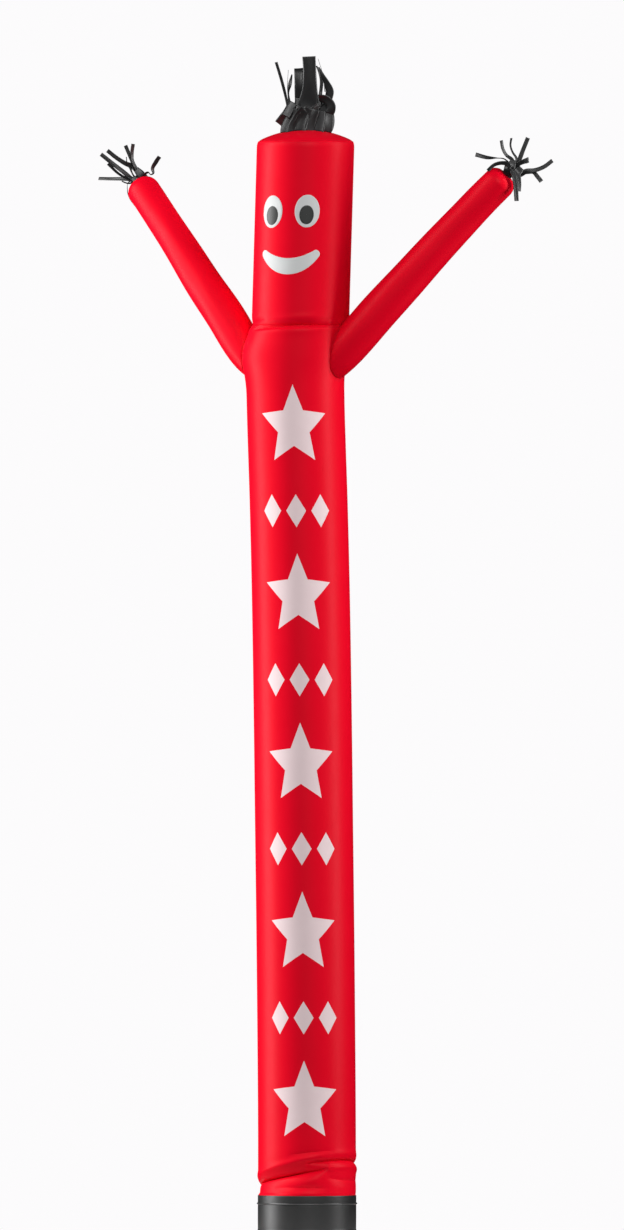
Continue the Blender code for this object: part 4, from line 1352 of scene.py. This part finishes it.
def ribbon_grid(places, number, root):
    """The points of a ribbon: a cupped strip with soft ripples, which differ by its number."""
    rows = smooth_route(places, RIBBON_STEP)
    run, side = carried_sides(rows[:, :3])
    turn = np.radians(rows[:, 3])[:, None]
    across = side * np.cos(turn) + np.cross(run, side) * np.sin(turn)
    lift = np.cross(run, across)
    far = np.arange(len(rows))[:, None] * RIBBON_STEP
    u = RIBBON_ACROSS[None, :]
    wide = rows[:, 4][:, None]
    rolls = ((RIBBON_CUP * wide * (1 - u * u), CUP_ROLL), (RIBBON_RIPPLE, RIPPLE_ROLL))
    out = sum(
        size * np.sin(far / roll.length + roll.shift * number + roll.slant * u)
        for size, roll in (*rolls, (RIBBON_CREASE, CREASE_ROLL))
    )
    beside = across[:, None] * (u * wide / 2)[..., None]
    points = root + rows[:, None, :3] + beside + lift[:, None] * out[..., None]
    return points, np.stack([u * wide / 2, far + RIBBON_UV_SHIFT * number + 0 * u], axis=-1)


def make_tuft(name, node, grids):
    """Strips of cloth gathered into one piece, from grids of points, UVs and if they close."""
    points, faces, uvs, count = [], [], [], 0
    for grid, uv, closed in grids:
        corners, corner_uv = grid_faces(grid, uv, closed)
        points.append(grid.reshape(-1, 3))
        faces += (corners.reshape(-1, 4) + count).tolist()
        uvs.append(corner_uv.reshape(-1, 4, 2))
        count += len(points[-1])
    points, uvs = np.concatenate(points), np.concatenate(uvs)
    piece = mesh_object(name, points, faces, uvs, MATERIALS["ribbon_cloth"])
    thicken(piece, RIBBON_SHEET, offset=0.0)
    finished(piece, "black_ribbon", node)


# The gathered cloth at the hair's root: rings from the crown up to the pinch
BaseRow = namedtuple("BaseRow", "up half_wide half_deep fold shift")
HAIR_BASE = [
    BaseRow(*mm(-40, 108, 54, 2, 4)),
    BaseRow(*mm(0, 110, 56, 4, 5)),
    BaseRow(*mm(30, 104, 52, 6, 6)),
    BaseRow(*mm(55, 82, 44, 8, 6)),
    BaseRow(*mm(78, 56, 34, 7, 6)),
    BaseRow(*mm(100, 40, 24, 4, 4)),
]
HAIR_BASE_SIDES = 160
HAIR_BASE_STEPS = 40
HAIR_BASE_LIFT = 0.0005
HAIR_CREASES = [Wave(0.15, 23, 0.0, 40)]
HAIR_BASE_UV_RADIUS = 0.095


# Folds with narrow ridges and wide valleys go round a gathered root and climb it
HAIR_FOLDS = [Wave(0.7, 9, 0.4, 54), Wave(0.4, 5, 1.9, 75)]
KNOT_FOLDS = [Wave(0.7, 7, 0.3, 154), Wave(0.3, 4, 2.0, 88)]
FOLD_SHARPNESS = 0.8


def sharp_folds(folds, turn, up):
    total = 0.0
    for fold in folds:
        turns = fold.count * turn + fold.start + fold.climb * up
        total = total + fold.size * (1 - 2 * np.abs(np.sin(turns / 2)) ** FOLD_SHARPNESS)
    return total


def hair_base_grid(seat):
    ups = np.linspace(HAIR_BASE[0].up, HAIR_BASE[-1].up, HAIR_BASE_STEPS + 1)
    turns = even_turns(HAIR_BASE_SIDES)
    turn, up = np.meshgrid(turns, ups)
    columns = (along_table(HAIR_BASE, "up", name, up) for name in BaseRow._fields[1:])
    wide, deep, fold, shift = columns
    folds = sharp_folds(HAIR_FOLDS, turn, up) + waved(HAIR_CREASES, turn, up)
    across = (wide + fold * folds) * np.cos(turn) + shift
    points = seat + stacked(across, (deep + fold * folds) * np.sin(turn), up)
    clear = GAP + HAIR_BASE_LIFT * np.arange(len(ups))[:, None] / len(ups)
    points[..., 2] = np.maximum(points[..., 2], crown_floor(points) + clear)
    return points, uv_grid(np.append(turns, 2 * np.pi) * HAIR_BASE_UV_RADIUS, ups)


def crown_floor(points):
    """The height of the crown's cloth under points."""
    centre = centre_at(np.array(RIM_HEIGHT))
    far = np.hypot(points[..., 0] - centre[0], points[..., 1] - centre[1])
    return RIM_HEIGHT + GAP + CLOTH_WALL + crown_height(np.clip(far / RIM_RADIUS, 0, 1))


def make_hair():
    seat = centre_at(np.array(RIM_HEIGHT)) + np.array((0.0, 0.0, CROWN_RISE + GAP + CLOTH_WALL))
    grids = [(*hair_base_grid(seat), True)]
    for number, places in enumerate(HAIR):
        points, uv = ribbon_grid(places, number, seat)
        points[..., 2] = np.maximum(points[..., 2], crown_floor(points) + 2 * GAP)
        grids.append((points, uv, False))
    make_tuft("hair_ribbons", "hair", grids)


# The ribbons' root is crushed into the sleeve's opening and spreads outside it
Knot = namedtuple("Knot", "out radius")
KNOTS = {"left": Knot(0.029, 0.026), "right": Knot(0.037, 0.033)}
KNOT_NECK = 0.0235
KNOT_SIDES = 72
KNOT_STEPS = 30
KnotRow = namedtuple("KnotRow", "out radius fold")


def knot_grid(centre, direction, out, size):
    """The crushed lump of cloth that fills the sleeve's opening."""
    rows = [
        KnotRow(-0.028, 0.6 * KNOT_NECK, 0.0015),
        KnotRow(-0.004, KNOT_NECK, 0.0015),
        KnotRow(0.4 * out, 0.80 * size, 0.0045),
        KnotRow(0.8 * out, 0.92 * size, 0.0060),
        KnotRow(out + 0.3 * size, 0.70 * size, 0.0060),
        KnotRow(out + 0.6 * size, 0.22 * size, 0.0025),
    ]
    side = unit(np.cross(direction, (0.0, 0.0, 1.0)))
    outs = np.linspace(rows[0].out, rows[-1].out, KNOT_STEPS + 1)
    turns = even_turns(KNOT_SIDES)
    turn, along = np.meshgrid(turns, outs)
    radius, fold = (along_table(rows, "out", name, along) for name in ("radius", "fold"))
    radius = radius + fold * sharp_folds(KNOT_FOLDS, turn, along)
    ring = around(side, np.cross(side, direction), turn)
    points = centre + direction * along[..., None] + ring * radius[..., None]
    return points, uv_grid(np.append(turns, 2 * np.pi) * size, outs)


def make_hand(hand, strips):
    arm, knot = ARMS[hand], KNOTS[hand]
    last = np.array(float(arm.last))
    direction, _, _ = arm.axes(last)
    centre = arm.centre(last) + direction * ARM_END_ROUND
    grids = [(*knot_grid(centre, direction, knot.out, knot.radius), True)]
    for number, places in enumerate(strips):
        grids.append((*ribbon_grid(places, number, centre + direction * knot.out), False))
    name, node = f"{hand}_hand_strips", f"{hand}_hand_ribbons"
    make_tuft(name, node, grids)


# ---------------------------------------------------------------- stage, light, camera
CAMERA_AWAY = 130.0
CAMERA_REACH = 500.0
SENSOR_WIDTH = 36.0
VIEW_TALL = 5.736
VIEW_CENTRE = (-0.0727, 2.885)
FLOOR_RADIUS = 0.66
FLOOR_SIDES = 128
FLOOR_TONE = 0.60
FLOOR_GLOW = 0.15


def make_stage():
    middle = (COLLAR_X, COLLAR_Y, 0.0)
    bpy.ops.mesh.primitive_circle_add(
        vertices=FLOOR_SIDES, radius=FLOOR_RADIUS, fill_type="NGON", location=middle
    )
    floor = bpy.context.object
    floor.name = "studio_floor"
    nodes = Finish("pale_floor")
    nodes.shade(
        Base_Color=(FLOOR_TONE, FLOOR_TONE, FLOOR_TONE),
        Roughness=1.0,
        Specular_IOR_Level=0.0,
        Emission_Color=(1.0, 1.0, 1.0),
        Emission_Strength=FLOOR_GLOW,
    )
    floor.data.materials.append(nodes.material)


# Softboxes stand round the figure by azimuth, and face its middle line at the aim height
# Those behind and above give no gloss, which would fray the figure's outline from the front
Softbox = namedtuple("Softbox", "name azimuth height away aim wide tall power gloss")
SOFTBOXES = [
    Softbox("left_softbox", -93, 3.4, 5.0, 3.4, 2.0, 7.8, 440, True),
    Softbox("right_softbox", 80, 4.8, 6.0, 4.4, 1.6, 8.4, 390, True),
    Softbox("upper_left_softbox", -66, 10.0, 11.0, 3.0, 5.0, 5.0, 420, True),
    Softbox("front_softbox", 6, 13.0, 22.0, 2.0, 9.0, 9.0, 1850, True),
    Softbox("back_softbox", 180, 3.0, 12.0, 2.8, 2.0, 8.0, 800, False),
    Softbox("top_softbox", 0, 14.0, 1.5, 5.0, 2.5, 2.5, 62, False),
]
FRONT_LIGHT = 0.56
BACK_LIGHT = 0.03
LOW_SHARE = 0.06
FRONT_FADE = (0.1, 1.0)
LOW_FADE = (-0.15, 0.35)
FRONT_SIDE = (0.10, -1.0, 0.0)
SKY_TINT = (0.985, 0.99, 1.0)
BACKDROP = (0.974, 0.966, 0.974)


def make_world():
    """Soft light from the front and above, dimmer from behind and below; the backdrop is pale."""
    world = bpy.data.worlds.new("studio")
    bpy.context.scene.world = world
    world.use_nodes = True
    nodes = Nodes(world.node_tree)

    def fading(value, *limits):
        return nodes.out("ShaderNodeMapRange", value, *limits, interpolation_type="SMOOTHSTEP")

    direction = nodes.add("ShaderNodeTexCoord").outputs["Generated"]
    facing = nodes.add("ShaderNodeVectorMath", direction, FRONT_SIDE, operation="DOT_PRODUCT")
    height = nodes.add("ShaderNodeSeparateXYZ", direction).outputs["Z"]
    front = fading(facing.outputs["Value"], *FRONT_FADE, BACK_LIGHT, FRONT_LIGHT)
    strength = nodes.math("MULTIPLY", front, fading(height, *LOW_FADE, LOW_SHARE, 1.0))
    lit = nodes.out("ShaderNodeVectorMath", SKY_TINT, operation="SCALE", Scale=strength)
    seen = nodes.add("ShaderNodeLightPath").outputs["Is Camera Ray"]
    background = world.node_tree.nodes["Background"]
    nodes.give(background.inputs["Color"], nodes.mix(seen, lit, BACKDROP))


def make_light():
    make_world()
    for box in SOFTBOXES:
        light = bpy.data.lights.new(box.name, "AREA")
        light.shape = "RECTANGLE"
        light.size, light.size_y = box.wide, box.tall
        light.energy = box.power
        lamp = in_scene(box.name, light)
        turn = math.radians(box.azimuth)
        out = Vector((math.sin(turn) * box.away, -math.cos(turn) * box.away, box.height))
        lamp.location = Vector((COLLAR_X, COLLAR_Y, 0)) + out
        lamp.rotation_euler = (out - Vector((0, 0, box.aim))).to_track_quat("Z", "Y").to_euler()
        lamp.visible_camera = False
        lamp.visible_glossy = box.gloss


def make_camera():
    data = bpy.data.cameras.new("camera")
    data.sensor_width = SENSOR_WIDTH
    data.lens = SENSOR_WIDTH * CAMERA_AWAY / VIEW_TALL
    data.clip_end = CAMERA_REACH
    camera = in_scene("camera", data)
    camera.location = (VIEW_CENTRE[0], COLLAR_Y - CAMERA_AWAY, VIEW_CENTRE[1])
    camera.rotation_euler = (math.pi / 2, 0, 0)
    bpy.context.scene.camera = camera


def main():
    bpy.context.scene.view_settings.view_transform = "Standard"
    make_camera()
    make_stage()
    make_light()
    make_collar()
    make_welt()
    make_body()
    make_head()
    make_crown()
    for hand in ARMS:
        make_sleeve(hand)
    for eye in EYE_WHITES:
        make_eye(eye, PATCH_BASE, "white_cloth", "white_patch")
    for pupil in PUPILS:
        make_eye(pupil, PATCH_BASE + PATCH_LIFT, "grey_cloth", "grey_patch")
    make_smile()
    make_tube_stitches()
    for hand in ARMS:
        make_sleeve_stitches(hand)
    make_collar_stitches()
    make_face_stitches()
    make_hair()
    make_hand("left", LEFT_HAND)
    make_hand("right", RIGHT_HAND)


main()
